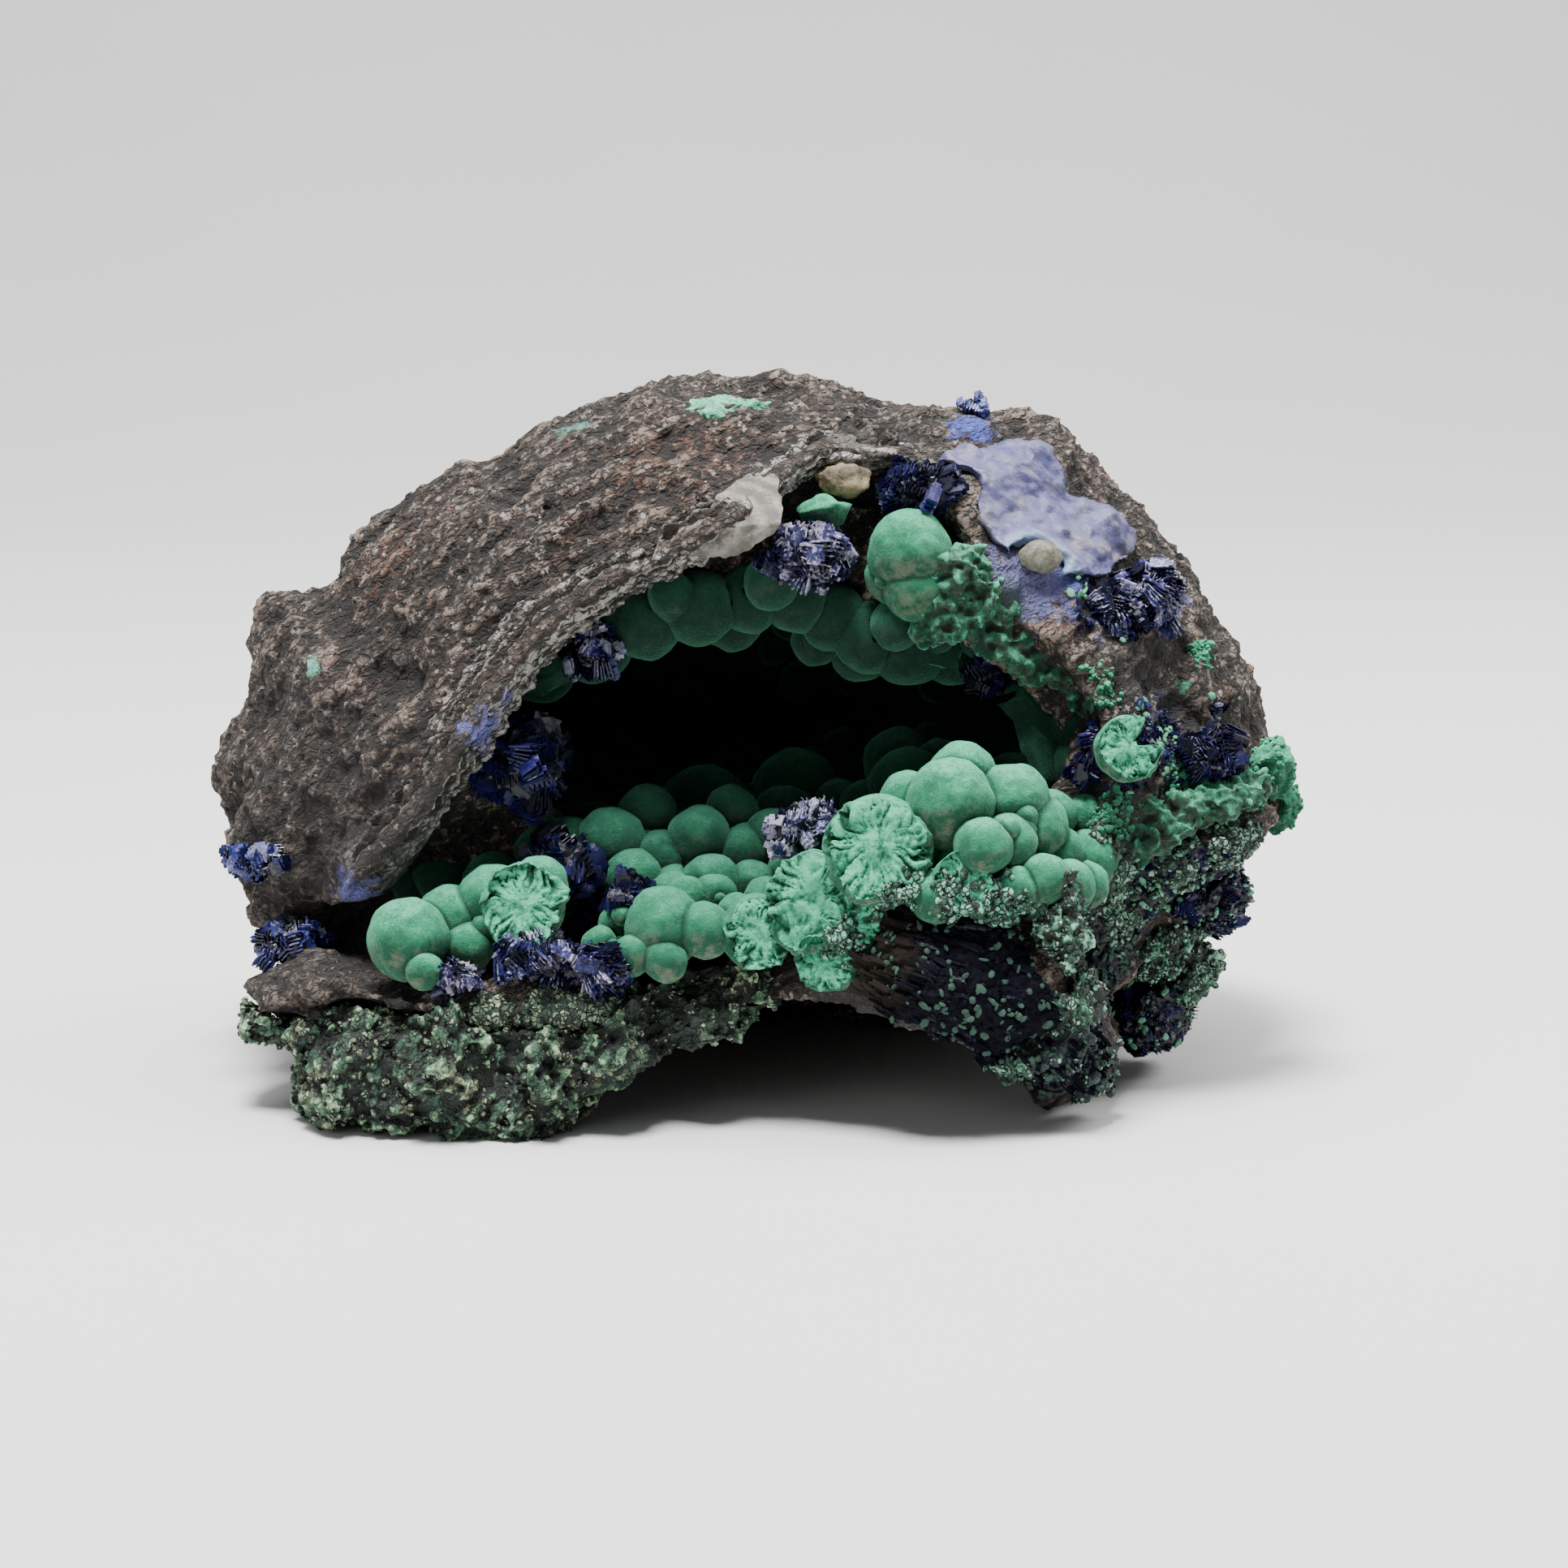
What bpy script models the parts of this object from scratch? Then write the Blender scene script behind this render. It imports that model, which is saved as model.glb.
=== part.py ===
"""A malachite and azurite vug: a domed piece of brown gossan, broken open at the front.

The hollow is lined with balls of malachite, and rosettes of azurite sit round its mouth. The specimen
stands on a crusted left foot, a right foot and a broad heel at the back, with an arch between the feet.
+X is to the right and +Y goes into the hollow. +Z is up, and the surface that it stands on is z = 0.
Every size and place below is in millimetres. When all is made, the whole is moved over the origin.
"""

import math
import random

import bmesh
import bpy
from mathutils import Matrix, Vector, noise

MM = 0.001
GAP = 0.3  # clearance between two pieces that touch
CRUST_GAP = 0.5  # the same beside a crust, whose surface is less exact
WELD = 0.001  # points of a mesh that are closer than this are one point
FLAT = math.radians(1.0)  # faces that differ by less are one face
ROCK_ROOM = "rock_room"  # the name of the rock's grown skin

# The dome of gossan, seen from the front: (x, z) along its outline, clockwise from the low left.
DOME_CENTRE = (0.0, -1.0, 20.0)
DOME_HALF_DEPTH = 33.0
DOME_OUTLINE = [
    (-34, 6), (-38, 9), (-41, 13), (-44.5, 15), (-47.6, 20), (-46.6, 28), (-43.8, 33.2), (-43.4, 38),
    (-42.2, 40), (-39.3, 41.4), (-36.2, 40.8), (-35.5, 43), (-34, 45.7), (-32, 48), (-29.8, 49.9),
    (-26.2, 52.4), (-20.5, 54.2), (-18, 56.1), (-12.3, 57.9), (-8.7, 59.7), (-4.4, 60.4), (3.4, 60.4),
    (9.1, 59.5), (11.5, 58.1), (16.9, 57.6), (22.2, 56.8), (25.4, 57.2), (29.4, 55), (34.4, 50),
    (37.3, 46.4), (41, 41.4), (43.9, 37), (46.2, 31), (47.6, 25), (45.6, 19), (42.6, 13), (39, 8),
    (33, 5), (22, 4), (0, 2.5), (-20, 4),
]

# The mouth: the rim of the roof, clockwise from the low left, then down the right-hand wall.
MOUTH_CENTRE = (-1.0, 0.0, 31.0)
MOUTH_DEPTH = 15.0
MOUTH_OUTLINE = [
    (-37, 12.5), (-33.5, 18), (-30, 21.6), (-25.6, 26.5), (-23, 30.6), (-20.5, 34.7), (-17.8, 38.5),
    (-15, 41.6), (-11.4, 44), (-7.4, 46.3), (-3.3, 48.4), (1.4, 51), (4.5, 53.6), (8, 55), (12.5, 54.4),
    (17, 52), (20, 47.5), (22.5, 43), (26, 39.5), (29.5, 36), (31, 31), (30, 25), (27, 19), (18, 14),
    (6, 12.5), (-12, 12.5), (-26, 12.5),
]
RIM_POINTS = MOUTH_OUTLINE[1:15]  # the stretch along which the layered plates stand out

# The broken face of the thick right-hand wall: a point on it, and the way that it looks.
BREAK_POINT = Vector((28.0, -18.5, 44.0))
BREAK_OUTWARD = Vector((0.42, -0.72, 0.55)).normalized()
# Smaller breaks at the back and the sides, each in the same way.
CHIPS = [
    (Vector((20.0, 27.0, 40.0)), Vector((0.5, 0.75, 0.45)).normalized()),
    (Vector((-26.0, 24.0, 30.0)), Vector((-0.62, 0.78, 0.1)).normalized()),
    (Vector((-2.0, 29.5, 14.0)), Vector((0.1, 0.9, -0.42)).normalized()),
    (Vector((-44.5, 2.0, 24.0)), Vector((-0.95, 0.2, -0.15)).normalized()),
]

LAYER_LIE = (0.8, 0.2, 0.55)  # the direction in which the gossan's layers are drawn out
ROCK_TRIANGLES = 1900

# The hollow behind the mouth.
CHAMBER_CENTRE = (2.5, -4.0, 31.0)
CHAMBER_RADII = (33.5, 23.5, 13.0)
LINING_THICKNESS = 1.3
SHEET_DEPTH = 0.45  # from the rock's wall to the back of the lining
HOLLOW_BALL_TRIANGLES = 750
FLOOR_BALL_TRIANGLES = 420

# The arch under the specimen, between the feet.
ARCH_CENTRE = (7.0, -24.0, -3.0)
ARCH_HALF_DEPTH = 30.0
ARCH_OUTLINE = [(-15, 1), (-9, 4), (-4, 8), (0.5, 10.4), (6, 10.8), (14, 9.6), (20, 6.6), (25, 2.5), (7, -20)]

# Lumps of gossan added to the dome: centre, radii, and the turn about Y in degrees.
ROCK_LUMPS = {
    "left_ledge": ((-21.5, -25.0, 11.2), (17.0, 10.5, 2.3), 0),
    "left_ledge_tip": ((-36.5, -21.0, 10.2), (7.0, 7.0, 3.0), -6),
    "left_low_lobe": ((-38.5, -10.0, 15.0), (5.0, 8.0, 4.2), 20),
    "left_flank_ridge": ((-38.0, -13.0, 26.0), (8.5, 6.0, 3.0), -40),
    "rim_tongue": ((-2.4, -25.4, 49.4), (5.0, 1.6, 2.4), -28),
    "front_block": ((17.0, -28.5, 13.5), (12.0, 8.0, 7.0), 8),
    "right_foot": ((26.0, -24.5, 6.0), (6.0, 6.5, 7.5), 35),
    "right_shelf": ((37.0, -15.5, 21.5), (9.5, 8.5, 3.4), -14),
    "crest_knob": ((26.0, -4.0, 53.4), (6.0, 6.0, 4.0), 25),
    "shoulder_knob": ((-39.0, -2.0, 38.0), (4.6, 6.0, 3.6), 30),
    "back_ridge": ((0.0, 23.0, 41.0), (16.0, 6.0, 4.5), -12),
    "back_knob": ((-20.0, 20.0, 19.0), (12.0, 8.0, 7.0), 12),
    "back_step": ((22.0, 19.0, 14.0), (12.0, 8.0, 6.0), -16),
    "heel": ((-2.0, 14.0, 6.0), (22.0, 12.0, 7.6), 3),
    "heel_side": ((18.0, 9.0, 6.0), (12.0, 9.0, 6.8), -8),
}

# Malachite balls, each (x, y, z, radius).
ROOF_BALLS = [
    (-3.5, -17.5, 42.0, 3.2), (0.8, -16.5, 42.6, 2.9), (-8, -17, 40.6, 3.1), (-12.6, -13.5, 38.2, 3.2),
    (4.8, -16.5, 42.4, 2.8), (8, -15.5, 40.8, 2.9), (11, -16, 39.2, 2.9), (14.4, -15.5, 38.4, 3.3),
    (10.4, -13, 37.4, 2.4), (18.4, -14, 37.8, 2.9), (22.6, -12, 37, 3.2), (-17.5, -10, 35.8, 3.2),
]
WALL_BALLS = [
    (29, -16, 31.4, 3), (30, -14, 27, 3.2), (27, -13, 35, 3), (-23.5, -8, 31, 3.3), (-25, -9, 26, 3.5),
]
BACK_BALLS = [
    (-3.4, -5, 22.3, 4), (-7.7, -8, 20.6, 2.8), (-4.5, -10, 20.4, 2.8), (-1.2, -10, 20, 2.5),
    (-6, -13, 19.6, 2.9), (4.8, -3, 23.6, 3.8), (3.8, -8, 21.8, 3.1), (14.2, -3, 26, 3.4),
    (14.8, -9.5, 24.8, 3.8), (19.5, -11, 25.2, 3.5), (24, -8, 24.5, 3.4), (-13, -9, 20.8, 2.8),
]
FLOOR_BALLS = [
    (-10.7, -20.5, 19.4, 3.4), (-22, -14, 20, 2.6), (-15.8, -16.5, 19.4, 2.8), (2.3, -17.5, 19.6, 2.5),
    (-4.8, -19.5, 17.8, 2.8), (-1.4, -16, 18.6, 2.6), (-21, -19, 18.4, 2.8), (0.4, -21, 17.4, 2.7),
    (6.6, -20.5, 18.4, 3), (-16.5, -21, 17.8, 2.7), (10.8, -18.5, 20.4, 3), (25, -18.5, 22.6, 2.8),
    (-25.5, -17.5, 18.6, 2.6), (29.6, -17.5, 24.4, 2.4), (-7.6, -23.6, 17.4, 2.6),
]
LEFT_LIP_BALLS = [
    (-27.3, -30.5, 16, 3.5), (-24, -27.5, 17, 3), (-20.6, -27.5, 18.9, 2.9), (-25.8, -33.2, 13.9, 1.6),
]
CENTRE_LIP_BALLS = [
    (-6.2, -29.5, 16.8, 3.5), (-3, -30.6, 16.8, 2.4), (-5.4, -25, 18.2, 2.3), (-2.2, -25.5, 18.7, 2.1),
    (-8.8, -31.8, 14.9, 1.7), (2.6, -26.5, 18.2, 2.4),
]
MOUND_BALLS = [
    (17.5, -30.5, 27.4, 3.7), (22.6, -28.5, 27.2, 3.2), (24.4, -28.5, 25, 2.9), (26.2, -27.5, 22.6, 2.5),
    (20, -34, 24.6, 2.5), (25, -33, 21.6, 2.2), (15, -27.5, 23.5, 4.4), (20, -28.5, 21.5, 5),
    (11, -28, 19.5, 4.8), (29.5, -24.5, 21.5, 2.6),
]
BROW_BALLS = [
    (14.4, -19.6, 47.1, 3.4), (14.8, -20.2, 43.9, 2.7), (18.8, -20.2, 45.4, 2.6), (16.6, -20.4, 41, 2.3),
    (20, -19.8, 42.4, 2.6), (22.4, -19.4, 39.4, 2.3), (25, -19, 37.6, 2.2), (27.6, -18.5, 36.2, 2),
    (29.8, -18.6, 34.6, 1.9),
]
RIDGE_BALLS = [
    (31, -22.6, 23.6, 2.1), (33.2, -22, 25.2, 2.2), (33.8, -23.2, 22.6, 1.9), (36, -22.8, 24, 2),
    (38.4, -22.2, 24.9, 1.8), (40.8, -21.4, 25.7, 1.8), (43.2, -20, 26.3, 1.8),
]
# Balls broken across, each (x, y, z, radius) and the way that its broken face looks.
LEFT_LIP_BROKEN = [((-17.6, -32, 19.2, 3.4), (0.1, -1, 0.25))]
CENTRE_LIP_BROKEN = [((1.6, -31.6, 16.9, 3.0), (0, -1, 0.15))]
MOUND_BROKEN = [
    ((6.3, -32, 19.6, 4.0), (-0.3, -1, 0.3)), ((11.6, -32.4, 23.9, 4.5), (-0.1, -1, 0.4)),
    ((18.3, -35, 21.9, 2.3), (0.1, -1, 0.1)), ((7.4, -32.8, 14.8, 2.6), (-0.3, -1, -0.1)),
]
WALL_BALL_BROKEN = [((32.4, -26.6, 31.4, 2.7), (0.25, -1, 0.5))]

# Azurite rosettes, each a list of heads: the centre and radii of the space that the blades fill.
ROSETTES = {
    "azurite_brow_rosette": [((6.2, -22.0, 47.0), (4.4, 3.6, 3.4))],
    "azurite_alcove": [((15.6, -17.0, 52.0), (4.8, 3.0, 2.6)), ((11.2, -19.0, 49.6), (2.0, 2.0, 2.0))],
    "azurite_shoulder": [((31.6, -17.6, 41.2), (3.8, 3.2, 3.0)), ((35.0, -15.4, 42.4), (3.8, 3.4, 3.6))],
    "azurite_left_wall": [((-18.4, -21.8, 29.4), (5.2, 4.4, 5.6))],
    "azurite_left_small": [((-12.2, -19.6, 38.6), (3.0, 2.6, 2.6))],
    "azurite_roof_tuft": [((21.2, -17.0, 36.0), (2.6, 2.4, 2.2))],
    "azurite_floor_rosette": [((-15.0, -25.0, 20.6), (4.8, 3.6, 4.2))],
    "azurite_floor_bud": [((-9.4, -28.0, 19.2), (2.3, 2.3, 3.0))],
    "azurite_lip_strip": [((-16.6, -33.0, 15.2), (4.2, 2.8, 3.0)), ((-11.6, -32.6, 13.8), (4.2, 2.8, 2.4))],
    "azurite_lip_bud": [((-23.0, -33.6, 13.6), (1.9, 1.7, 1.8))],
    "azurite_mound_back": [((5.6, -26.6, 24.4), (4.0, 2.6, 3.0))],
    "azurite_wall": [((32.0, -22.4, 30.0), (4.4, 2.8, 4.2))],
    "azurite_right_mass": [((39.6, -19.4, 29.4), (5.2, 3.4, 2.8))],
    "azurite_ledge_patch": [((-38.4, -19.0, 13.2), (4.2, 3.4, 2.2))],
    "azurite_crest": [((20.2, -5.4, 56.6), (2.8, 2.6, 2.4))],
}
BLADES = 6  # on each head
HEAD_TRIANGLES = 90
BLADE_WIDTH = 0.8  # of the head's mean radius
BLADE_THICKNESS = 0.3
CORE_SHARE = 0.74  # of the space, filled by the solid middle of a head

# Crusts: each small lump's centre and radii.
LEFT_CRUST = [
    ((-32.0, -28.5, 5.4), (6.0, 6.5, 6.0)), ((-24.5, -30.5, 5.0), (6.2, 6.3, 6.3)),
    ((-17.5, -30.5, 5.4), (6.0, 6.2, 6.6)), ((-11.0, -29.5, 8.0), (5.6, 5.5, 4.8)),
    ((-4.5, -27.5, 9.4), (5.0, 5.0, 3.2)), ((-39.5, -23.0, 7.4), (3.4, 4.0, 2.8)),
    ((-34.5, -27.0, 2.6), (3.6, 4.4, 3.6)), ((-29.0, -32.5, 2.2), (3.6, 3.2, 3.2)),
    ((-21.0, -33.0, 2.6), (4.0, 3.0, 3.6)), ((1.5, -27.0, 11.3), (3.6, 3.6, 2.2)),
]
RIGHT_CRUST = [
    ((26.4, -32.4, 17.2), (2.6, 3.0, 4.8)), ((27.4, -31.4, 10.6), (2.8, 3.6, 4.4)),
    ((24.6, -31.6, 6.8), (4.4, 3.2, 2.6)), ((29.0, -28.6, 4.6), (2.6, 3.2, 3.0)),
]
RIND = [((46.0, -15.0, 27.8), (2.0, 2.8, 3.0)), ((46.8, -13.6, 24.2), (1.9, 2.6, 2.6))]
UPPER_SKIRT = [((38.4, -14.0, 17.4), (5.6, 5.6, 3.4)), ((41.4, -11.0, 15.6), (3.4, 4.6, 3.2))]
SKIRT_DRUSE = [((35.4, -15.6, 12.4), (4.4, 4.8, 3.6)), ((38.8, -13.4, 10.0), (3.2, 4.2, 3.4))]
LOWER_SKIRT = [((35.2, -14.4, 6.4), (3.8, 4.8, 3.6)), ((37.0, -11.0, 4.8), (3.0, 4.4, 2.8))]
NODULE = [((25.4, -19.8, 46.6), (2.0, 1.2, 1.5))]
TAN_CRYSTAL = [((9.0, -17.4, 52.8), (2.6, 2.4, 1.7))]
ALCOVE_BALL = [((7.2, -19.2, 50.4), (2.6, 2.0, 1.5))]

# Thin layers that follow the rock: the lumps that say where, and the height of the layer.
SEAM_AREA = [
    ((23.6, -14.0, 51.4), (5.0, 9.0, 5.2)), ((27.6, -15.0, 47.6), (7.4, 8.0, 3.6)),
    ((19.2, -15.0, 53.4), (3.4, 6.0, 2.0)),
]
SLAB_AREA = [((17.6, -36.0, 15.0), (7.4, 7.0, 5.6)), ((22.2, -34.0, 10.4), (5.0, 7.0, 4.0))]
TOP_PATCH_AREA = [((-2.2, -11.0, 58.4), (2.6, 3.0, 3.0)), ((0.9, -11.0, 58.4), (2.0, 1.4, 3.0))]
LEFT_PATCH_AREA = [((-41.2, -16.0, 20.4), (3.4, 6.0, 1.8))]
SEAM_HEIGHT = 1.3
SLAB_HEIGHT = 1.2
PATCH_HEIGHT = 1.1

# Colours (red, green, blue), roughness.
FINISHES = {
    "gossan": ((0.13, 0.095, 0.075), 0.9),
    "malachite": ((0.08, 0.42, 0.26), 0.7),
    "azurite": ((0.02, 0.025, 0.16), 0.35),
    "green_crust": ((0.2, 0.38, 0.26), 0.85),
    "pale_blue": ((0.36, 0.37, 0.62), 0.45),
    "grey_stone": ((0.36, 0.34, 0.3), 0.6),
}


def clear_scene():
    for obj in list(bpy.data.objects):
        bpy.data.objects.remove(obj, do_unlink=True)


def finish_of(name):
    """The Principled material for one mineral, made once."""
    found = bpy.data.materials.get(name)
    if found:
        return found
    colour, roughness = FINISHES[name]
    made = bpy.data.materials.new(name)
    made.use_nodes = True
    shader = made.node_tree.nodes["Principled BSDF"]
    shader.inputs["Base Color"].default_value = (*colour, 1)
    shader.inputs["Roughness"].default_value = roughness
    return made


def select_only(obj):
    bpy.ops.object.select_all(action="DESELECT")
    obj.select_set(True)
    bpy.context.view_layer.objects.active = obj


def settle(obj):
    """Applies every modifier of the object, in order."""
    select_only(obj)
    for modifier in list(obj.modifiers):
        bpy.ops.object.modifier_apply(modifier=modifier.name)
    return obj


def icosphere(name, subdivisions):
    bpy.ops.mesh.primitive_ico_sphere_add(subdivisions=subdivisions, radius=1)
    bpy.context.object.name = name
    return bpy.context.object


def reach_of(outline, centre):
    """A function of the angle in the XZ plane: how far a closed outline lies from the centre."""
    polar = []
    for x, z in outline:
        out, up = x - centre[0], z - centre[2]
        polar.append((math.atan2(up, out), math.hypot(out, up)))
    polar.sort()
    first, last = polar[0], polar[-1]
    polar = [(last[0] - 2 * math.pi, last[1])] + polar + [(first[0] + 2 * math.pi, first[1])]

    def reach(angle):
        for (a0, r0), (a1, r1) in zip(polar, polar[1:]):
            if a0 <= angle <= a1:
                share = (angle - a0) / max(a1 - a0, 1e-9)
                return r0 + (r1 - r0) * share
        return first[1]

    return reach


DOME_REACH = reach_of(DOME_OUTLINE, DOME_CENTRE)


def dome_front(x, z):
    """The y of the dome's front surface above a place (x, z) of the front elevation."""
    out, up = x - DOME_CENTRE[0], z - DOME_CENTRE[2]
    share = math.hypot(out, up) / DOME_REACH(math.atan2(up, out))
    return DOME_CENTRE[1] - DOME_HALF_DEPTH * math.sqrt(max(0.0, 1 - share**2))


def outlined_ball(name, centre, outline, half_depth, subdivisions):
    """A ball whose front elevation is the outline, and whose depth is an ellipse."""
    ball = icosphere(name, subdivisions)
    reach = reach_of(outline, centre)
    for vertex in ball.data.vertices:
        x, y, z = vertex.co
        angle = math.atan2(z, x)
        far = reach(angle) * math.hypot(x, z)
        side, up = centre[0] + far * math.cos(angle), centre[2] + far * math.sin(angle)
        vertex.co = (side * MM, (centre[1] + half_depth * y) * MM, up * MM)
    return ball


def mouth(name, grow=0.0, subdivisions=5):
    """The opening in the dome's front: its outline lies on the dome's surface, and a bowl goes in."""
    bowl = outlined_ball(name, MOUTH_CENTRE, MOUTH_OUTLINE, MOUTH_DEPTH + grow, subdivisions)
    for vertex in bowl.data.vertices:
        vertex.co.y += dome_front(vertex.co.x / MM, vertex.co.z / MM) * MM
    return offset(bowl, grow) if grow else bowl


def lump(name, centre, radii, turn=0.0, subdivisions=3, rough=0.0, seed=0, grow=0.0):
    """An ellipsoid with an uneven surface. turn is about the Y axis, and grow adds to every radius."""
    ball = icosphere(name, subdivisions)
    tilt = Matrix.Rotation(math.radians(turn), 3, "Y")
    for vertex in ball.data.vertices:
        swell = 1 + rough * noise.noise(vertex.co * 1.7 + Vector((seed * 7.3, seed * 3.1, seed)))
        sides = [vertex.co[i] * (radii[i] * swell + grow) for i in range(3)]
        vertex.co = (tilt @ Vector(sides) + Vector(centre)) * MM
    return ball


def join(name, objects):
    """Several objects as one mesh. Their shapes still overlap."""
    bpy.ops.object.select_all(action="DESELECT")
    for obj in objects:
        obj.select_set(True)
    bpy.context.view_layer.objects.active = objects[0]
    if len(objects) > 1:
        bpy.ops.object.join()
    objects[0].name = name
    return objects[0]


def fuse(name, objects, voxel):
    """Several closed shapes made one by a voxel remesh."""
    fused = join(name, objects)
    remesh = fused.modifiers.new("fuse", "REMESH")
    remesh.mode = "VOXEL"
    remesh.voxel_size = voxel * MM
    return settle(fused)


def thin(obj, triangles):
    """Collapses edges until about this many triangles are left."""
    obj.data.calc_loop_triangles()
    decimate = obj.modifiers.new("thin", "DECIMATE")
    decimate.use_collapse_triangulate = True
    decimate.ratio = min(1.0, triangles / len(obj.data.loop_triangles))
    return settle(obj)


def is_solid(mesh):
    """Whether the mesh has faces, and two of them at every edge."""
    shape = bmesh.new()
    shape.from_mesh(mesh)
    closed = all(len(edge.link_faces) == 2 for edge in shape.edges)
    solid = closed and len(shape.faces) > 0
    shape.free()
    return solid


def combine(obj, other, operation, folded=False):
    """A Boolean with another object, which is removed. Where EXACT leaves no solid, MANIFOLD is used.

    folded says that the other surface may cross itself in places, as a grown skin does.
    """
    before = obj.data.copy()
    for solver in ("EXACT", "MANIFOLD"):
        boolean = obj.modifiers.new("combine", "BOOLEAN")
        boolean.operation = operation
        boolean.object = other
        boolean.solver = solver
        boolean.use_self = folded
        settle(obj)
        if is_solid(obj.data):
            break
        if solver == "EXACT":
            obj.data = before.copy()
    bpy.data.objects.remove(other, do_unlink=True)
    return obj


def cut(obj, other, folded=False):
    return combine(obj, other, "DIFFERENCE", folded)


def united(name, shapes):
    """Overlapping closed shapes joined by Boolean unions into one solid."""
    whole = shapes[0]
    for shape in shapes[1:]:
        combine(whole, shape, "UNION")
    whole.name = name
    return whole


def copy_of(obj):
    twin = obj.copy()
    twin.data = obj.data.copy()
    bpy.context.collection.objects.link(twin)
    return twin


def boxes_meet(one, other):
    """Whether the boxes round two objects overlap."""
    for axis in range(3):
        spans = []
        for obj in (one, other):
            along = [vertex.co[axis] for vertex in obj.data.vertices]
            spans.append((min(along), max(along)))
        if spans[0][1] < spans[1][0] or spans[1][1] < spans[0][0]:
            return False
    return True


def keep_largest_body(obj):
    """Welds the mesh, and deletes every body but the one with the most volume."""
    shape = bmesh.new()
    shape.from_mesh(obj.data)
    bmesh.ops.remove_doubles(shape, verts=shape.verts, dist=WELD * MM)
    bmesh.ops.dissolve_degenerate(shape, edges=shape.edges, dist=WELD * MM)
    bmesh.ops.triangulate(shape, faces=shape.faces)
    bodies, seen = [], set()
    for start in shape.faces:
        if start in seen:
            continue
        body, queue = [], [start]
        seen.add(start)
        while queue:
            face = queue.pop()
            body.append(face)
            for edge in face.edges:
                for neighbour in edge.link_faces:
                    if neighbour not in seen:
                        seen.add(neighbour)
                        queue.append(neighbour)
        volume = sum(f.verts[0].co.dot(f.verts[1].co.cross(f.verts[2].co)) for f in body)
        bodies.append((volume, body))
    bodies.sort(key=lambda entry: entry[0])
    spare = [face for _, body in bodies[:-1] for face in body]
    bmesh.ops.delete(shape, geom=spare, context="FACES")
    bmesh.ops.delete(shape, geom=[edge for edge in shape.edges if edge.is_wire], context="EDGES")
    bmesh.ops.dissolve_limit(shape, angle_limit=FLAT, verts=shape.verts, edges=shape.edges)
    bmesh.ops.triangulate(shape, faces=shape.faces)
    shape.to_mesh(obj.data)
    shape.free()
    return obj


def offset(obj, distance):
    """Moves the surface along its normals by a distance in millimetres."""
    displace = obj.modifiers.new("offset", "DISPLACE")
    displace.strength = distance * MM
    displace.mid_level = 0
    return settle(obj)


def box(name, low, high):
    bpy.ops.mesh.primitive_cube_add(size=1)
    made = bpy.context.object
    made.name = name
    middle = [(a + b) / 2 * MM for a, b in zip(low, high)]
    sides = [(b - a) * MM for a, b in zip(low, high)]
    for vertex in made.data.vertices:
        vertex.co = [middle[i] + vertex.co[i] * sides[i] for i in range(3)]
    return made


def stand_on_floor(obj):
    """Cuts the solid off flat at z = 0."""
    return cut(obj, box("ground", (-80, -80, -30), (80, 80, 0)))


def slab_beyond(name, point, outward):
    """A slab whose flat face goes through a point: what a break took off."""
    slab = box(name, (-30, -24, -30), (30, 0, 30))
    turn = outward.to_track_quat("-Y", "Z").to_matrix()
    for vertex in slab.data.vertices:
        vertex.co = turn @ vertex.co + point * MM
    return slab


def ball(name, place, subdivisions=2, grow=0.0):
    x, y, z, radius = place
    return lump(name, (x, y, z), (radius,) * 3, subdivisions=subdivisions, grow=grow)


def broken_ball(name, place, facing, segments=16, grow=0.0):
    """A ball of radiating fibres, broken across: a flat face with ridges that run out from its middle."""
    x, y, z, radius = place
    radius += grow
    face_height, ridge = 0.35 * radius + grow, 0.1 * radius
    bpy.ops.mesh.primitive_uv_sphere_add(segments=segments, ring_count=8, radius=radius)
    made = bpy.context.object
    made.name = name
    turn = Vector(facing).to_track_quat("Z", "Y").to_matrix()
    for vertex in made.data.vertices:
        spot = vertex.co.copy()
        if spot.z > face_height:
            across = math.hypot(spot.x, spot.y) / radius
            spoke = round(math.atan2(spot.y, spot.x) / (2 * math.pi) * segments)
            spot.z = face_height + ridge * across * (1 if spoke % 2 else -1)
        vertex.co = (turn @ spot + Vector((x, y, z))) * MM
    return made


def ball_cluster(name, balls, broken=(), grow=0.0):
    """Malachite balls grown into each other."""
    shapes = []
    for number, place in enumerate(balls):
        shapes.append(ball(f"{name}_ball{number}", place, grow=grow))
    for number, (place, facing) in enumerate(broken):
        shapes.append(broken_ball(f"{name}_broken{number}", place, facing, grow=grow))
    return united(name, shapes)


def blade(name, foot, direction, length, width, thickness, spin):
    """A flat crystal with a chisel tip, from its foot along a direction."""
    bpy.ops.mesh.primitive_cube_add(size=1)
    made = bpy.context.object
    made.name = name
    turn = Vector(direction).to_track_quat("Z", "Y").to_matrix() @ Matrix.Rotation(spin, 3, "Z")
    for vertex in made.data.vertices:
        x, y, z = vertex.co
        narrow, chisel = (0.62, 0.3) if z > 0 else (1.0, 1.0)
        shape = Vector((x * width * narrow, y * thickness * chisel, (z + 0.5) * length))
        vertex.co = (turn @ shape + Vector(foot)) * MM
    return made


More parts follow.
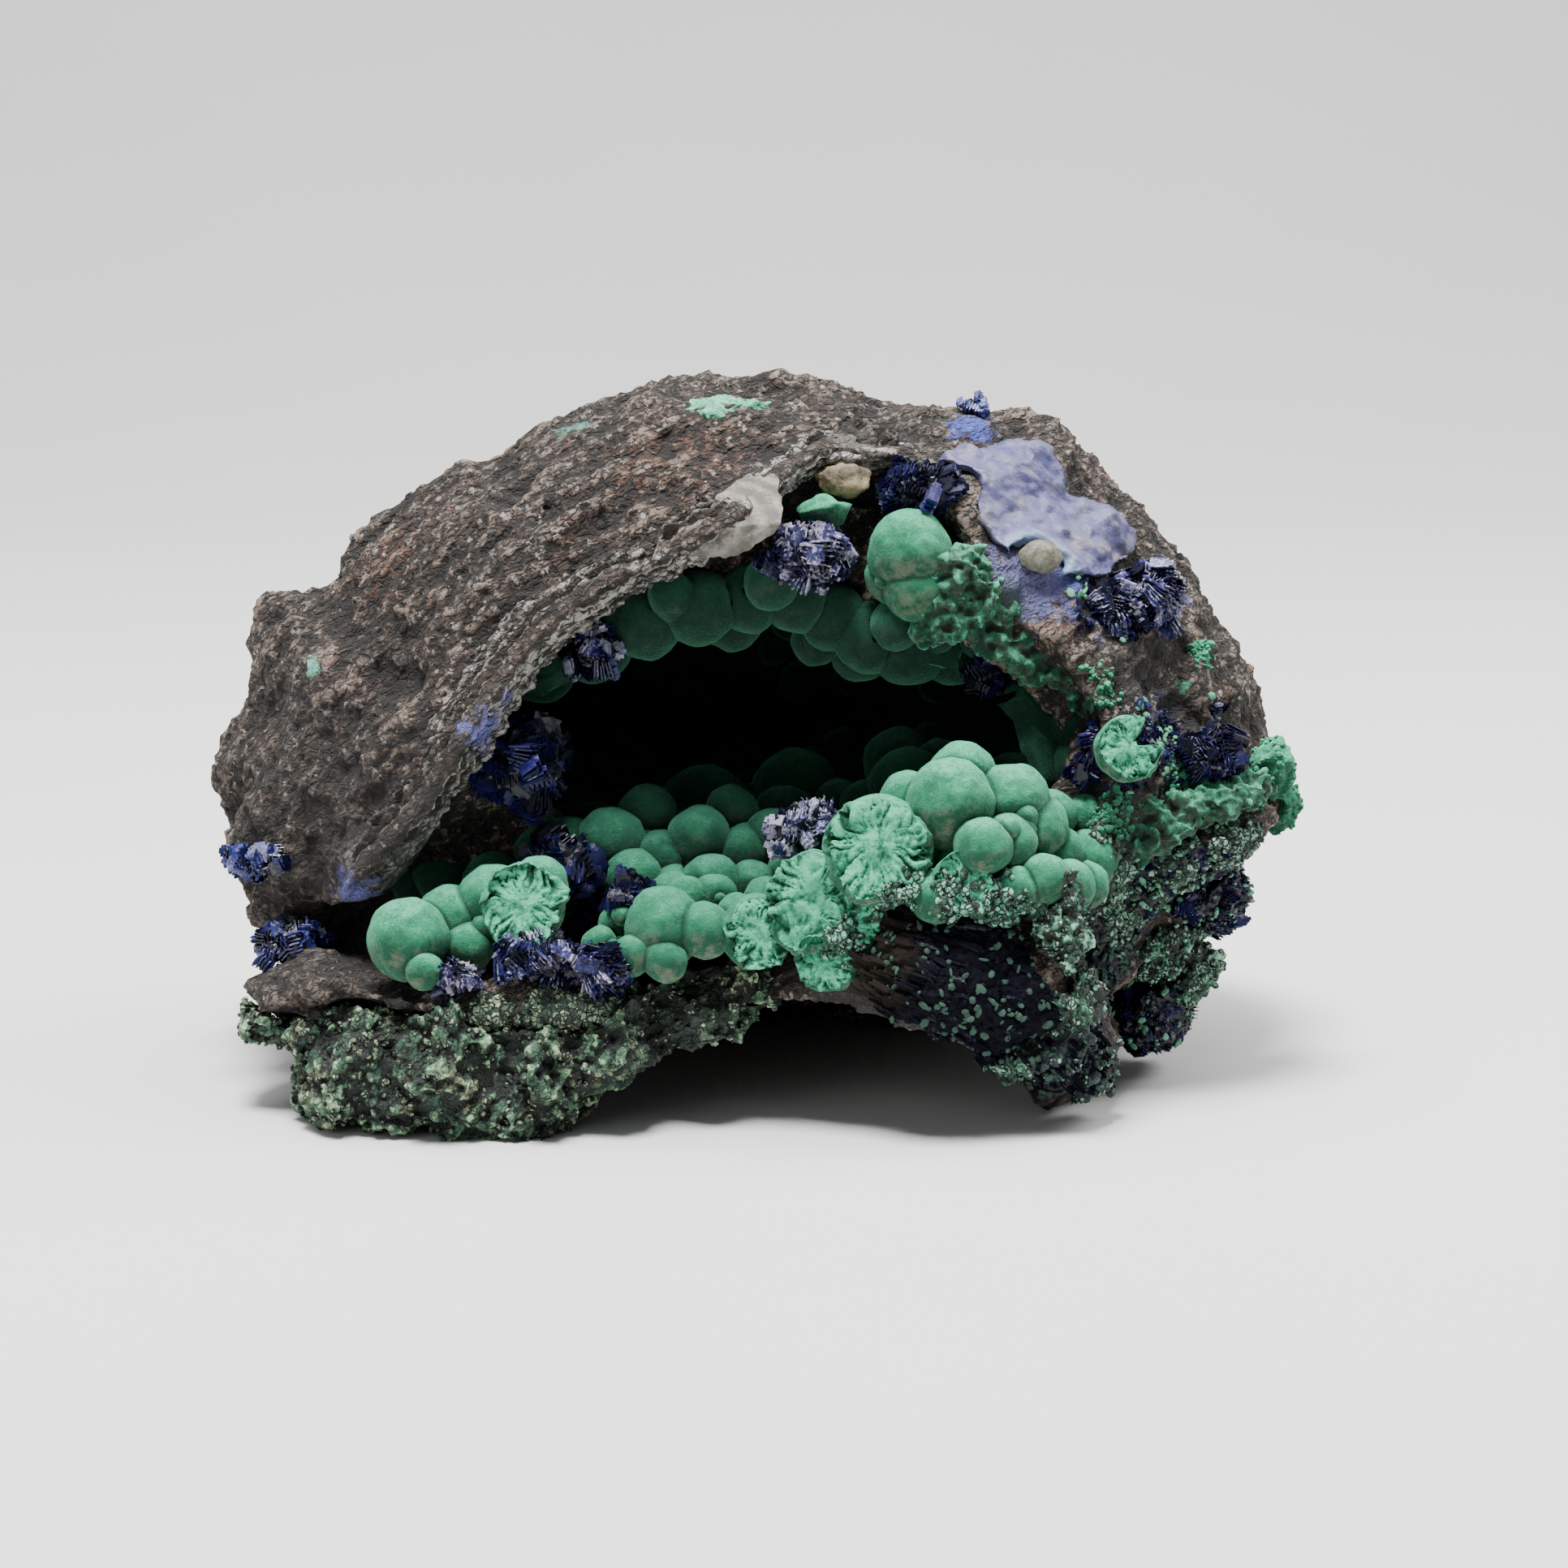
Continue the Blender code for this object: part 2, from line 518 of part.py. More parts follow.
def rosette(name, heads, seed):
    """Azurite blades that radiate from the core of each head and stay inside its ellipsoid."""
    chance = random.Random(seed)
    golden = math.pi * (3 - math.sqrt(5))
    shapes = []
    for head, (centre, radii) in enumerate(heads):
        mean = sum(radii) / 3
        core = [radius * CORE_SHARE for radius in radii]
        shapes.append(lump(f"{name}_core{head}", centre, core, subdivisions=2, rough=0.2, seed=seed))
        for number in range(BLADES):
            up = 1 - 2 * (number + 0.5) / BLADES
            around = number * golden + chance.uniform(-0.3, 0.3)
            level = math.sqrt(1 - up * up)
            way = Vector((level * math.cos(around), level * math.sin(around), up))
            reach = 1 / math.sqrt(sum((way[i] / radii[i]) ** 2 for i in range(3)))
            foot = 0.45 * reach
            shapes.append(
                blade(
                    f"{name}_blade{head}_{number}",
                    Vector(centre) + way * foot,
                    way,
                    reach * chance.uniform(0.93, 0.98) - foot,
                    BLADE_WIDTH * mean * chance.uniform(0.8, 1.2),
                    BLADE_THICKNESS * mean * chance.uniform(0.8, 1.3),
                    chance.uniform(0, math.pi),
                )
            )
    return thin(united(name, shapes), HEAD_TRIANGLES * len(heads))


def rosette_room(name, heads):
    """The space that a rosette and its clearance take."""
    return united(name, [lump(name, centre, radii, subdivisions=2, grow=1.3 * GAP) for centre, radii in heads])


def crust(name, lumps, rough, seed, grow=0.0, subdivisions=3):
    """Small lumps grown into one rough crust."""
    shapes = []
    for number, (centre, radii) in enumerate(lumps):
        shapes.append(lump(f"{name}{number}", centre, radii, 0, subdivisions, rough, seed + number, grow))
    return united(name, shapes)


def layer(name, rock, area, height, triangles):
    """A thin layer that follows the rock's surface, wherever it lies inside the lumps of an area."""
    where = crust(name, area, 0.25, len(name), subdivisions=2)
    return thin(combine(where, offset(copy_of(rock), height), "INTERSECT"), triangles)


def roughen(obj, size, strength, stretch, seed):
    """Pushes the surface in and out by ridged noise, drawn out along the lie of the gossan's layers."""
    along = Vector(stretch).normalized()
    normals = [vertex.normal.copy() for vertex in obj.data.vertices]
    for vertex, normal in zip(obj.data.vertices, normals):
        spot = vertex.co / MM
        run = spot.dot(along)
        squeezed = (spot - along * run * 0.62) / size + Vector((seed, 0, 0))
        height = noise.ridged_multi_fractal(squeezed, 1.0, 2.1, 3, 1.0, 2.0) - 1.1
        vertex.co += normal * height * strength * MM
    obj.data.update()
    return obj


def rim_plate(name, inward, back, width):
    """A thin layer of the roof that stands out along the rim of the mouth."""
    curve = bpy.data.curves.new(name, "CURVE")
    curve.dimensions = "3D"
    curve.bevel_depth = width * MM
    curve.bevel_resolution = 0
    curve.use_fill_caps = True
    line = curve.splines.new("POLY")
    line.points.add(len(RIM_POINTS) - 1)
    for dot, (x, z) in zip(line.points, RIM_POINTS):
        spot = Vector((x, dome_front(x, z) + back, z)) + Vector((1, 0, -1)).normalized() * inward
        dot.co = (*(spot * MM), 1)
    guide = bpy.data.objects.new(name, curve)
    bpy.context.collection.objects.link(guide)
    graph = bpy.context.evaluated_depsgraph_get()
    plate = bpy.data.objects.new(name, bpy.data.meshes.new_from_object(guide.evaluated_get(graph)))
    bpy.context.collection.objects.link(plate)
    welded = bmesh.new()
    welded.from_mesh(plate.data)
    bmesh.ops.remove_doubles(welded, verts=welded.verts, dist=0.02 * MM)
    welded.to_mesh(plate.data)
    welded.free()
    bpy.data.objects.remove(guide, do_unlink=True)
    return plate


def chamber(name, subdivisions=3):
    """The space of the hollow, before its lining."""
    return lump(name, CHAMBER_CENTRE, CHAMBER_RADII, 0, subdivisions, rough=0.12, seed=4)


def host_rock():
    """The gossan itself: dome, ledge, block, feet and heel in one piece, with its mouth and arch."""
    dome = outlined_ball("dome", DOME_CENTRE, DOME_OUTLINE, DOME_HALF_DEPTH, 6)
    cut(dome, slab_beyond("right_break", BREAK_POINT, BREAK_OUTWARD))
    for number, (point, outward) in enumerate(CHIPS):
        cut(dome, slab_beyond(f"chip{number}", point, outward))
    cut(dome, mouth("mouth"))
    pieces = [dome, rim_plate("upper_plate", 0.0, 0.2, 1.0), rim_plate("lower_plate", 1.6, 1.8, 0.8)]
    for number, (name, (centre, radii, turn)) in enumerate(ROCK_LUMPS.items()):
        pieces.append(lump(name, centre, radii, turn, 4, 0.25, number))
    rock = fuse("host_rock", pieces, voxel=0.9)
    roughen(rock, size=14.0, strength=1.4, stretch=LAYER_LIE, seed=3)
    roughen(rock, size=6.0, strength=0.9, stretch=LAYER_LIE, seed=8)
    thin(rock, ROCK_TRIANGLES)
    cut(rock, chamber("hollow"))
    cut(rock, outlined_ball("arch", ARCH_CENTRE, ARCH_OUTLINE, ARCH_HALF_DEPTH, 3))
    return stand_on_floor(rock)


def malachite_lining(rock_room):
    """The crust of the hollow: a thin sheet on its wall, with the balls that grew from it."""
    sheet = offset(chamber("malachite_lining"), -SHEET_DEPTH)
    cut(sheet, offset(chamber("inside"), -SHEET_DEPTH - LINING_THICKNESS))
    cut(sheet, mouth("opening", -0.5, subdivisions=3))
    balls = ball_cluster("hollow_balls", ROOF_BALLS + WALL_BALLS + BACK_BALLS)
    combine(balls, offset(chamber("wall"), -SHEET_DEPTH - 0.5 * LINING_THICKNESS), "INTERSECT")
    combine(sheet, thin(balls, HOLLOW_BALL_TRIANGLES), "UNION")
    floor = thin(ball_cluster("floor_balls", FLOOR_BALLS), FLOOR_BALL_TRIANGLES)
    return combine(sheet, cut(floor, copy_of(rock_room), folded=True), "UNION")


def finish(obj, material, placed):
    """Cuts a piece clear of the pieces before it, and gives it its material."""
    for other in placed:
        if boxes_meet(obj, other):
            cut(obj, copy_of(other), folded=other.name == ROCK_ROOM)
    keep_largest_body(obj)
    obj.data.materials.clear()
    obj.data.materials.append(finish_of(material))
    return obj


def stand_over_origin(objects):
    """Moves the finished pieces so that the middle of the whole's footprint is at the origin."""
    corners = [vertex.co for obj in objects for vertex in obj.data.vertices]
    middle = [(min(spot[i] for spot in corners) + max(spot[i] for spot in corners)) / 2 for i in range(2)]
    for obj in objects:
        obj.data.transform(Matrix.Translation((-middle[0], -middle[1], 0)))


def main():
    clear_scene()
    rock = finish(host_rock(), "gossan", [])
    placed = [offset(copy_of(rock), GAP)]  # what later pieces keep clear of, each grown by the gap
    placed[0].name = ROCK_ROOM
    made = [rock]

    for seed, (name, heads) in enumerate(ROSETTES.items()):
        made.append(finish(rosette(name, heads, seed), "azurite", placed))
        placed.append(rosette_room(f"{name}_room", heads))

    clusters = {
        "malachite_left_lip": (LEFT_LIP_BALLS, LEFT_LIP_BROKEN, 300),
        "malachite_centre_lip": (CENTRE_LIP_BALLS, CENTRE_LIP_BROKEN, 340),
        "malachite_mound": (MOUND_BALLS, MOUND_BROKEN, 620),
        "malachite_brow": (BROW_BALLS, [], 340),
        "malachite_wall_ball": ([], WALL_BALL_BROKEN, 140),
        "malachite_ridge": (RIDGE_BALLS, [], 260),
    }
    for name, (balls, broken, triangles) in clusters.items():
        cluster = thin(ball_cluster(name, balls, broken), triangles)
        made.append(finish(cluster, "malachite", placed))
        placed.append(ball_cluster(f"{name}_room", balls, broken, grow=GAP))

    crusts = {
        "grey_nodule": (NODULE, "grey_stone", 0.1, 50),
        "tan_crystal": (TAN_CRYSTAL, "grey_stone", 0.3, 60),
        "malachite_alcove": (ALCOVE_BALL, "malachite", 0.2, 60),
        "malachite_rind": (RIND, "malachite", 0.3, 120),
        "azurite_upper_skirt": (UPPER_SKIRT, "azurite", 0.4, 140),
        "malachite_skirt_druse": (SKIRT_DRUSE, "green_crust", 0.5, 160),
        "azurite_lower_skirt": (LOWER_SKIRT, "azurite", 0.4, 140),
        "malachite_left_crust": (LEFT_CRUST, "green_crust", 0.5, 450),
        "malachite_right_crust": (RIGHT_CRUST, "green_crust", 0.5, 200),
    }
    for name, (lumps, material, rough, triangles) in crusts.items():
        shape = thin(crust(name, lumps, rough, seed=len(name)), triangles)
        made.append(finish(stand_on_floor(shape), material, placed))
        placed.append(crust(f"{name}_room", lumps, rough, seed=len(name), grow=CRUST_GAP))

    layers = {
        "pale_blue_seam": (SEAM_AREA, SEAM_HEIGHT, "pale_blue", 160),
        "azurite_block_slab": (SLAB_AREA, SLAB_HEIGHT, "azurite", 160),
        "malachite_top_patch": (TOP_PATCH_AREA, PATCH_HEIGHT, "malachite", 80),
        "azurite_left_patch": (LEFT_PATCH_AREA, PATCH_HEIGHT, "azurite", 80),
    }
    for name, (area, height, material, triangles) in layers.items():
        made.append(finish(layer(name, rock, area, height, triangles), material, placed))

    made.append(finish(malachite_lining(placed[0]), "malachite", placed[1:]))
    for obj in placed:
        bpy.data.objects.remove(obj, do_unlink=True)
    stand_over_origin(made)
    collection = bpy.data.collections.new("Malachite vug")
    bpy.context.scene.collection.children.link(collection)
    for obj in made:
        for holder in list(obj.users_collection):
            holder.objects.unlink(obj)
        collection.objects.link(obj)


if __name__ == "__main__":
    main()
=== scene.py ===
"""The looks of a malachite and azurite vug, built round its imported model.

The rock, the malachite balls, the azurite blades and the sugary crusts are modelled over the solids that
stand for them. Sizes in the dataclasses are in millimetres, and Blender's objects are in metres.
"""

import logging
import math
import random
from dataclasses import dataclass
from enum import Enum
from functools import reduce
from typing import ClassVar, Optional, Sequence, Union

import bmesh
import bpy
import numpy as np
from mathutils import Matrix, Vector, noise
from mathutils.bvhtree import BVHTree


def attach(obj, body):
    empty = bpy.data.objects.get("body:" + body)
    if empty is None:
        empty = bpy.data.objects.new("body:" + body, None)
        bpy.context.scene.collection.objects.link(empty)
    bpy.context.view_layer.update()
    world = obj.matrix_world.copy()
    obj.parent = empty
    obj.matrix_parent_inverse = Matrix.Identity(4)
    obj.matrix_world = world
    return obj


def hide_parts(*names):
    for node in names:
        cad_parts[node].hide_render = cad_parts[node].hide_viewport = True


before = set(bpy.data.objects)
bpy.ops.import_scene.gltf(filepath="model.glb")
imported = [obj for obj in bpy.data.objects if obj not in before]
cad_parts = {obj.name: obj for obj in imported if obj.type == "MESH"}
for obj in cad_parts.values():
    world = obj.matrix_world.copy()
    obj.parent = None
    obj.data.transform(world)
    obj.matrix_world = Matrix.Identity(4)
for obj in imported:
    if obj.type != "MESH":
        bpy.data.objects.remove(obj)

LOG = logging.getLogger("vug")
MM = 0.001
BODY = "root"
IMAGE_SIDE = 1932
FAR = 99.0  # farther than anything on the specimen, in millimetres
IN_FRONT = -80.0  # a y before all of the specimen, in millimetres
RIM_Y = -20.0  # the rim's y where no skin is found behind it, in millimetres
FLOOR_GAP = 0.01  # how far the lowest points stay above the floor, in millimetres
FULL_SPIN = 6.28  # nearly a whole turn, in radians
SPECK_TONE = 2.0  # the tone of green grains among blades, whose own tones are from 0 to 1
GROUP_STEPS = 20  # how many weights a vertex group tells apart

Colour = tuple[float, float, float]
Place = tuple[float, float, float]
Number = Union[float, int]

# The middle of the footprint in the layout that the places of balls and layers below are given in.
LAYOUT_MIDDLE = Vector((0.735, -2.889, 0.0))


def to_frame(place: Sequence[float]) -> Vector:
    """Moves a place of the layout, in millimetres, to the frame."""
    return Vector(place) - LAYOUT_MIDDLE


# ---------------------------------------------------------------------------------------------------
# Meshes


def deselect() -> None:
    """Deselects every object."""
    bpy.ops.object.select_all(action="DESELECT")


def select_only(obj: bpy.types.Object) -> None:
    """Makes one object the selected and active one."""
    deselect()
    obj.select_set(True)
    bpy.context.view_layer.objects.active = obj


def modify(obj: bpy.types.Object, kind: str, **settings: object) -> bpy.types.Object:
    """Gives an object a modifier and applies it.

    Args:
        obj: the object.
        kind: the modifier's type.
        settings: its settings.

    Returns:
        The same object.
    """
    select_only(obj)
    modifier = obj.modifiers.new(kind, kind)
    for key, value in settings.items():
        setattr(modifier, key, value)
    bpy.ops.object.modifier_apply(modifier=modifier.name)
    return obj


def copy_of_node(node: str, name: str) -> bpy.types.Object:
    """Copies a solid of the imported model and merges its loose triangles.

    Args:
        node: the solid's name.
        name: the copy's name.

    Returns:
        The copy, a closed mesh.
    """
    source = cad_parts[node]
    copy = bpy.data.objects.new(name, source.data.copy())
    bpy.context.scene.collection.objects.link(copy)
    copy.data.materials.clear()
    select_only(copy)
    bpy.ops.object.mode_set(mode="EDIT")
    bpy.ops.mesh.select_all(action="SELECT")
    bpy.ops.mesh.remove_doubles(threshold=1e-6)
    bpy.ops.object.mode_set(mode="OBJECT")
    return copy


def join(name: str, objects: Sequence[bpy.types.Object]) -> bpy.types.Object:
    """Joins objects into one mesh whose object sits at the origin.

    Args:
        name: the name of the result.
        objects: the objects, of which the first one is kept.

    Returns:
        The joined object.
    """
    deselect()
    for obj in objects:
        obj.select_set(True)
    bpy.context.view_layer.objects.active = objects[0]
    if len(objects) > 1:
        bpy.ops.object.join()
    bpy.ops.object.transform_apply(location=True, rotation=True, scale=True)
    objects[0].name = name
    return objects[0]


def remesh(obj: bpy.types.Object, voxel: float) -> bpy.types.Object:
    """Rebuilds the surface from even quads, with sides of about a voxel in millimetres."""
    return modify(obj, "REMESH", mode="VOXEL", voxel_size=voxel * MM)


def relax(obj: bpy.types.Object, repeats: int) -> bpy.types.Object:
    """Smooths the surface a number of times."""
    return modify(obj, "SMOOTH", factor=0.5, iterations=repeats)


def thin(obj: bpy.types.Object, triangles: int) -> None:
    """Collapses edges until about this many triangles are left.

    Args:
        obj: the object.
        triangles: how many to keep.
    """
    obj.data.calc_loop_triangles()
    ratio = triangles / max(1, len(obj.data.loop_triangles))
    if ratio < 1:
        modify(obj, "DECIMATE", ratio=ratio, use_collapse_triangulate=True)


def shade(obj: bpy.types.Object, angle: Optional[float] = None) -> None:
    """Shades the object smooth, all over or below an angle.

    Args:
        obj: the object.
        angle: the angle in degrees past which an edge stays sharp.
    """
    select_only(obj)
    if angle is None:
        bpy.ops.object.shade_smooth()
    else:
        bpy.ops.object.shade_smooth_by_angle(angle=math.radians(angle))


def points_of(obj: bpy.types.Object) -> np.ndarray:
    """The places of an object's points in millimetres, one row each."""
    spots = np.empty(len(obj.data.vertices) * 3, np.float32)
    obj.data.vertices.foreach_get("co", spots)
    return spots.reshape(-1, 3) / MM


def normals_of(obj: bpy.types.Object) -> np.ndarray:
    """The normals at an object's points, one row each."""
    normals = np.empty(len(obj.data.vertices) * 3, np.float32)
    obj.data.vertices.foreach_get("normal", normals)
    return normals.reshape(-1, 3)


def set_points(obj: bpy.types.Object, spots: np.ndarray) -> None:
    """Moves an object's points."""
    obj.data.vertices.foreach_set("co", (spots * MM).astype(np.float32).ravel())
    obj.data.update()


def mark(obj: bpy.types.Object, name: str, values: np.ndarray) -> None:
    """Stores a number at each point, for a material to read."""
    attribute = obj.data.attributes.get(name) or obj.data.attributes.new(name, "FLOAT", "POINT")
    attribute.data.foreach_set("value", values.astype(np.float32))


def weigh(obj: bpy.types.Object, name: str, weights: np.ndarray) -> None:
    """Makes a vertex group with a weight for each point.

    Args:
        obj: the object.
        name: the group's name.
        weights: one weight for each point, from 0 to 1.
    """
    group = obj.vertex_groups.new(name=name)
    steps = np.round(np.clip(weights, 0, 1) * GROUP_STEPS).astype(int)
    for step in np.unique(steps):
        group.add(np.flatnonzero(steps == step).tolist(), float(step) / GROUP_STEPS, "REPLACE")


def mark_relief(obj: bpy.types.Object, repeats: int = 12) -> np.ndarray:
    """Stores how far each point stands above the smoothed surface, in millimetres, as "relief".

    Args:
        obj: the object.
        repeats: how many times the surface that it is measured from is smoothed.

    Returns:
        The stored values.
    """
    spots = points_of(obj)
    ends = np.empty(len(obj.data.edges) * 2, np.int32)
    obj.data.edges.foreach_get("vertices", ends)
    first, second = ends.reshape(-1, 2).T
    count = len(spots)
    shares = np.bincount(first, minlength=count) + np.bincount(second, minlength=count)
    smooth = spots.astype(np.float64)
    for _ in range(repeats):
        total = np.zeros_like(smooth)
        for axis in range(3):
            total[:, axis] = np.bincount(first, smooth[second, axis], count)
            total[:, axis] += np.bincount(second, smooth[first, axis], count)
        smooth = 0.3 * smooth + 0.7 * total / np.maximum(shares, 1)[:, None]
    relief = ((spots - smooth) * normals_of(obj)).sum(1)
    mark(obj, "relief", relief)
    return relief


class Grain(Enum):
    """The pattern of a layer of relief: the texture's type, and its basis or kind."""

    SWELL = ("CLOUDS", "ORIGINAL_PERLIN")
    CRUMBS = ("CLOUDS", "BLENDER_ORIGINAL")
    RIDGES = ("MUSGRAVE", "RIDGED_MULTIFRACTAL")
    KNOBS = ("CLOUDS", "VORONOI_F1")
    PLATES = ("CLOUDS", "VORONOI_F2_F1")


@dataclass(frozen=True)
class Relief:
    """A layer of relief that is pressed into a surface by a Displace modifier."""

    grain: Grain
    size: float
    height: float
    middle: float = 0.5
    stretch: float = 1.0
    along: Place = (1.0, 0.0, 0.0)
    depth: int = 2
    group: str = ""
    seed: float = 0.0
    warp: bool = False
    full_at: float = 1.0

    def press(self, obj: bpy.types.Object) -> None:
        """Displaces the object's surface and applies the modifier.

        Args:
            obj: the object.
        """
        kind, basis = self.grain.value
        texture = bpy.data.textures.new("relief", kind)
        texture.noise_scale = 1.0
        if self.grain is Grain.RIDGES:
            texture.musgrave_type = basis
            texture.octaves = self.depth + 1
            texture.noise_intensity = 0.6
        else:
            texture.noise_basis = basis
            texture.noise_depth = self.depth
            texture.noise_type = "HARD_NOISE" if self.grain is Grain.CRUMBS else "SOFT_NOISE"
            texture.cloud_type = "COLOR" if self.warp else "GRAYSCALE"
        if self.full_at < 1:
            texture.use_color_ramp = True
            texture.color_ramp.elements[0].color = (0, 0, 0, 1)
            texture.color_ramp.elements[1].position = self.full_at
        guide = bpy.data.objects.new("guide", None)
        bpy.context.scene.collection.objects.link(guide)
        guide.rotation_mode = "QUATERNION"
        guide.rotation_quaternion = Vector(self.along).to_track_quat("X", "Z")
        guide.scale = (self.size * self.stretch * MM, self.size * MM, self.size * MM)
        guide.location = Vector((self.seed * 0.37, self.seed * 0.11, self.seed * 0.23))
        bpy.context.view_layer.update()
        direction = "RGB_TO_XYZ" if self.warp else "NORMAL"
        modify(
            obj, "DISPLACE", texture=texture, texture_coords="OBJECT", texture_coords_object=guide,
            strength=self.height * MM, mid_level=self.middle, direction=direction, vertex_group=self.group,
        )
        bpy.data.objects.remove(guide, do_unlink=True)
        bpy.data.textures.remove(texture)


Region = tuple[Place, float]  # a place in the frame and how far it reaches, in millimetres


def sample_surface(
    obj: bpy.types.Object, count: int, chance: np.random.Generator, regions: Sequence[Region] = ()
) -> tuple[np.ndarray, np.ndarray]:
    """Picks places spread evenly over a surface, or thinning out from the middles of some regions.

    Args:
        obj: the object whose surface it is.
        count: how many places.
        chance: the source of random numbers.
        regions: where places are picked. Without any they are picked all over.

    Returns:
        The places in millimetres and the surface's normals there, one row each.
    """
    mesh = obj.data
    mesh.calc_loop_triangles()
    corners = np.empty(len(mesh.loop_triangles) * 3, np.int32)
    mesh.loop_triangles.foreach_get("vertices", corners)
    spots = points_of(obj)[corners.reshape(-1, 3)]
    cross = np.cross(spots[:, 1] - spots[:, 0], spots[:, 2] - spots[:, 0])
    areas = np.linalg.norm(cross, axis=1)
    weights = areas.copy()
    if regions:
        middles = spots.mean(1)
        near = [1 - np.linalg.norm(middles - centre, axis=1) / reach for centre, reach in regions]
        weights *= np.clip(np.max(near, axis=0), 0, 1)
    picked = chance.choice(len(areas), count, p=weights / weights.sum())
    a, b = np.sqrt(chance.random(count)), chance.random(count)
    shares = np.stack([1 - a, a * (1 - b), a * b], 1)
    places = (spots[picked] * shares[:, :, None]).sum(1)
    return places, cross[picked] / np.maximum(areas[picked], 1e-9)[:, None]


def repeat_shape(
    name: str, pattern: bpy.types.Object, frames: Sequence[Matrix], tones: Sequence[float]
) -> bpy.types.Object:
    """Copies one small shape many times into one mesh, and removes the shape.

    Args:
        name: the name of the result.
        pattern: the shape, modelled at the origin in millimetres.
        frames: where each copy goes, in millimetres.
        tones: a number for each copy that its points keep as "tone".

    Returns:
        The new object.
    """
    shape = pattern.data
    corners = np.array([[*vertex.co, 1.0] for vertex in shape.vertices])
    rows = np.array([[list(row) for row in each] for each in frames])
    spots = np.einsum("nij,vj->nvi", rows, corners)[:, :, :3] * MM
    loops = np.array([loop.vertex_index for loop in shape.loops])
    sides = np.array([face.loop_total for face in shape.polygons])
    starts = np.array([face.loop_start for face in shape.polygons])
    count = len(frames)
    mesh = bpy.data.meshes.new(name)
    mesh.vertices.add(count * len(corners))
    mesh.vertices.foreach_set("co", spots.astype(np.float32).ravel())
    mesh.loops.add(count * len(loops))
    steps = np.arange(count)[:, None]
    mesh.loops.foreach_set("vertex_index", (loops + steps * len(corners)).astype(np.int32).ravel())
    mesh.polygons.add(count * len(sides))
    mesh.polygons.foreach_set("loop_start", (starts + steps * len(loops)).astype(np.int32).ravel())
    mesh.update(calc_edges=True)
    mesh.validate()
    mesh.shade_flat()
    made = bpy.data.objects.new(name, mesh)
    bpy.context.scene.collection.objects.link(made)
    mark(made, "tone", np.repeat(np.asarray(tones), len(corners)))
    bpy.data.objects.remove(pattern, do_unlink=True)
    return made


def facing(direction: Vector, spin: float = 0.0) -> Matrix:
    """A turn that takes +Z to a direction, after a spin about it."""
    return direction.to_track_quat("Z", "Y").to_matrix().to_4x4() @ Matrix.Rotation(spin, 4, "Z")


# ---------------------------------------------------------------------------------------------------
# Shaders


Operand = Union["Wire", Number]


class Wire:
    """A shader socket that takes part in expressions, whose Math nodes it adds."""

    def __init__(self, shader: "Shader", socket: bpy.types.NodeSocket) -> None:
        """Wraps a socket."""
        self.shader = shader
        self.socket = socket

    def _maths(self, operation: str, *values: Operand) -> "Wire":
        """Adds a Math node."""
        return self.shader.node("ShaderNodeMath", {"operation": operation}, dict(enumerate(values)))

    def __add__(self, other: Operand) -> "Wire":
        """self + other."""
        return self._maths("ADD", self, other)

    __radd__ = __add__

    def __sub__(self, other: Operand) -> "Wire":
        """self - other."""
        return self._maths("SUBTRACT", self, other)

    def __rsub__(self, other: Operand) -> "Wire":
        """other - self."""
        return self._maths("SUBTRACT", other, self)

    def __mul__(self, other: Operand) -> "Wire":
        """self * other."""
        return self._maths("MULTIPLY", self, other)

    __rmul__ = __mul__

    def highest(self, other: Operand) -> "Wire":
        """The greater of the two."""
        return self._maths("MAXIMUM", self, other)

    def step(self, low: float, high: float) -> "Wire":
        """0 below low, 1 above high and a smooth step between.

        Args:
            low: where the step starts. It may be above high, and then the step goes down.
            high: where it ends.

        Returns:
            The step's height.
        """
        settings = {"interpolation_type": "SMOOTHSTEP"}
        if low > high:
            return 1 - self.step(high, low)
        return self.shader.node("ShaderNodeMapRange", settings, {0: self, 1: low, 2: high})


Feed = Union[Wire, Number, Sequence[float]]


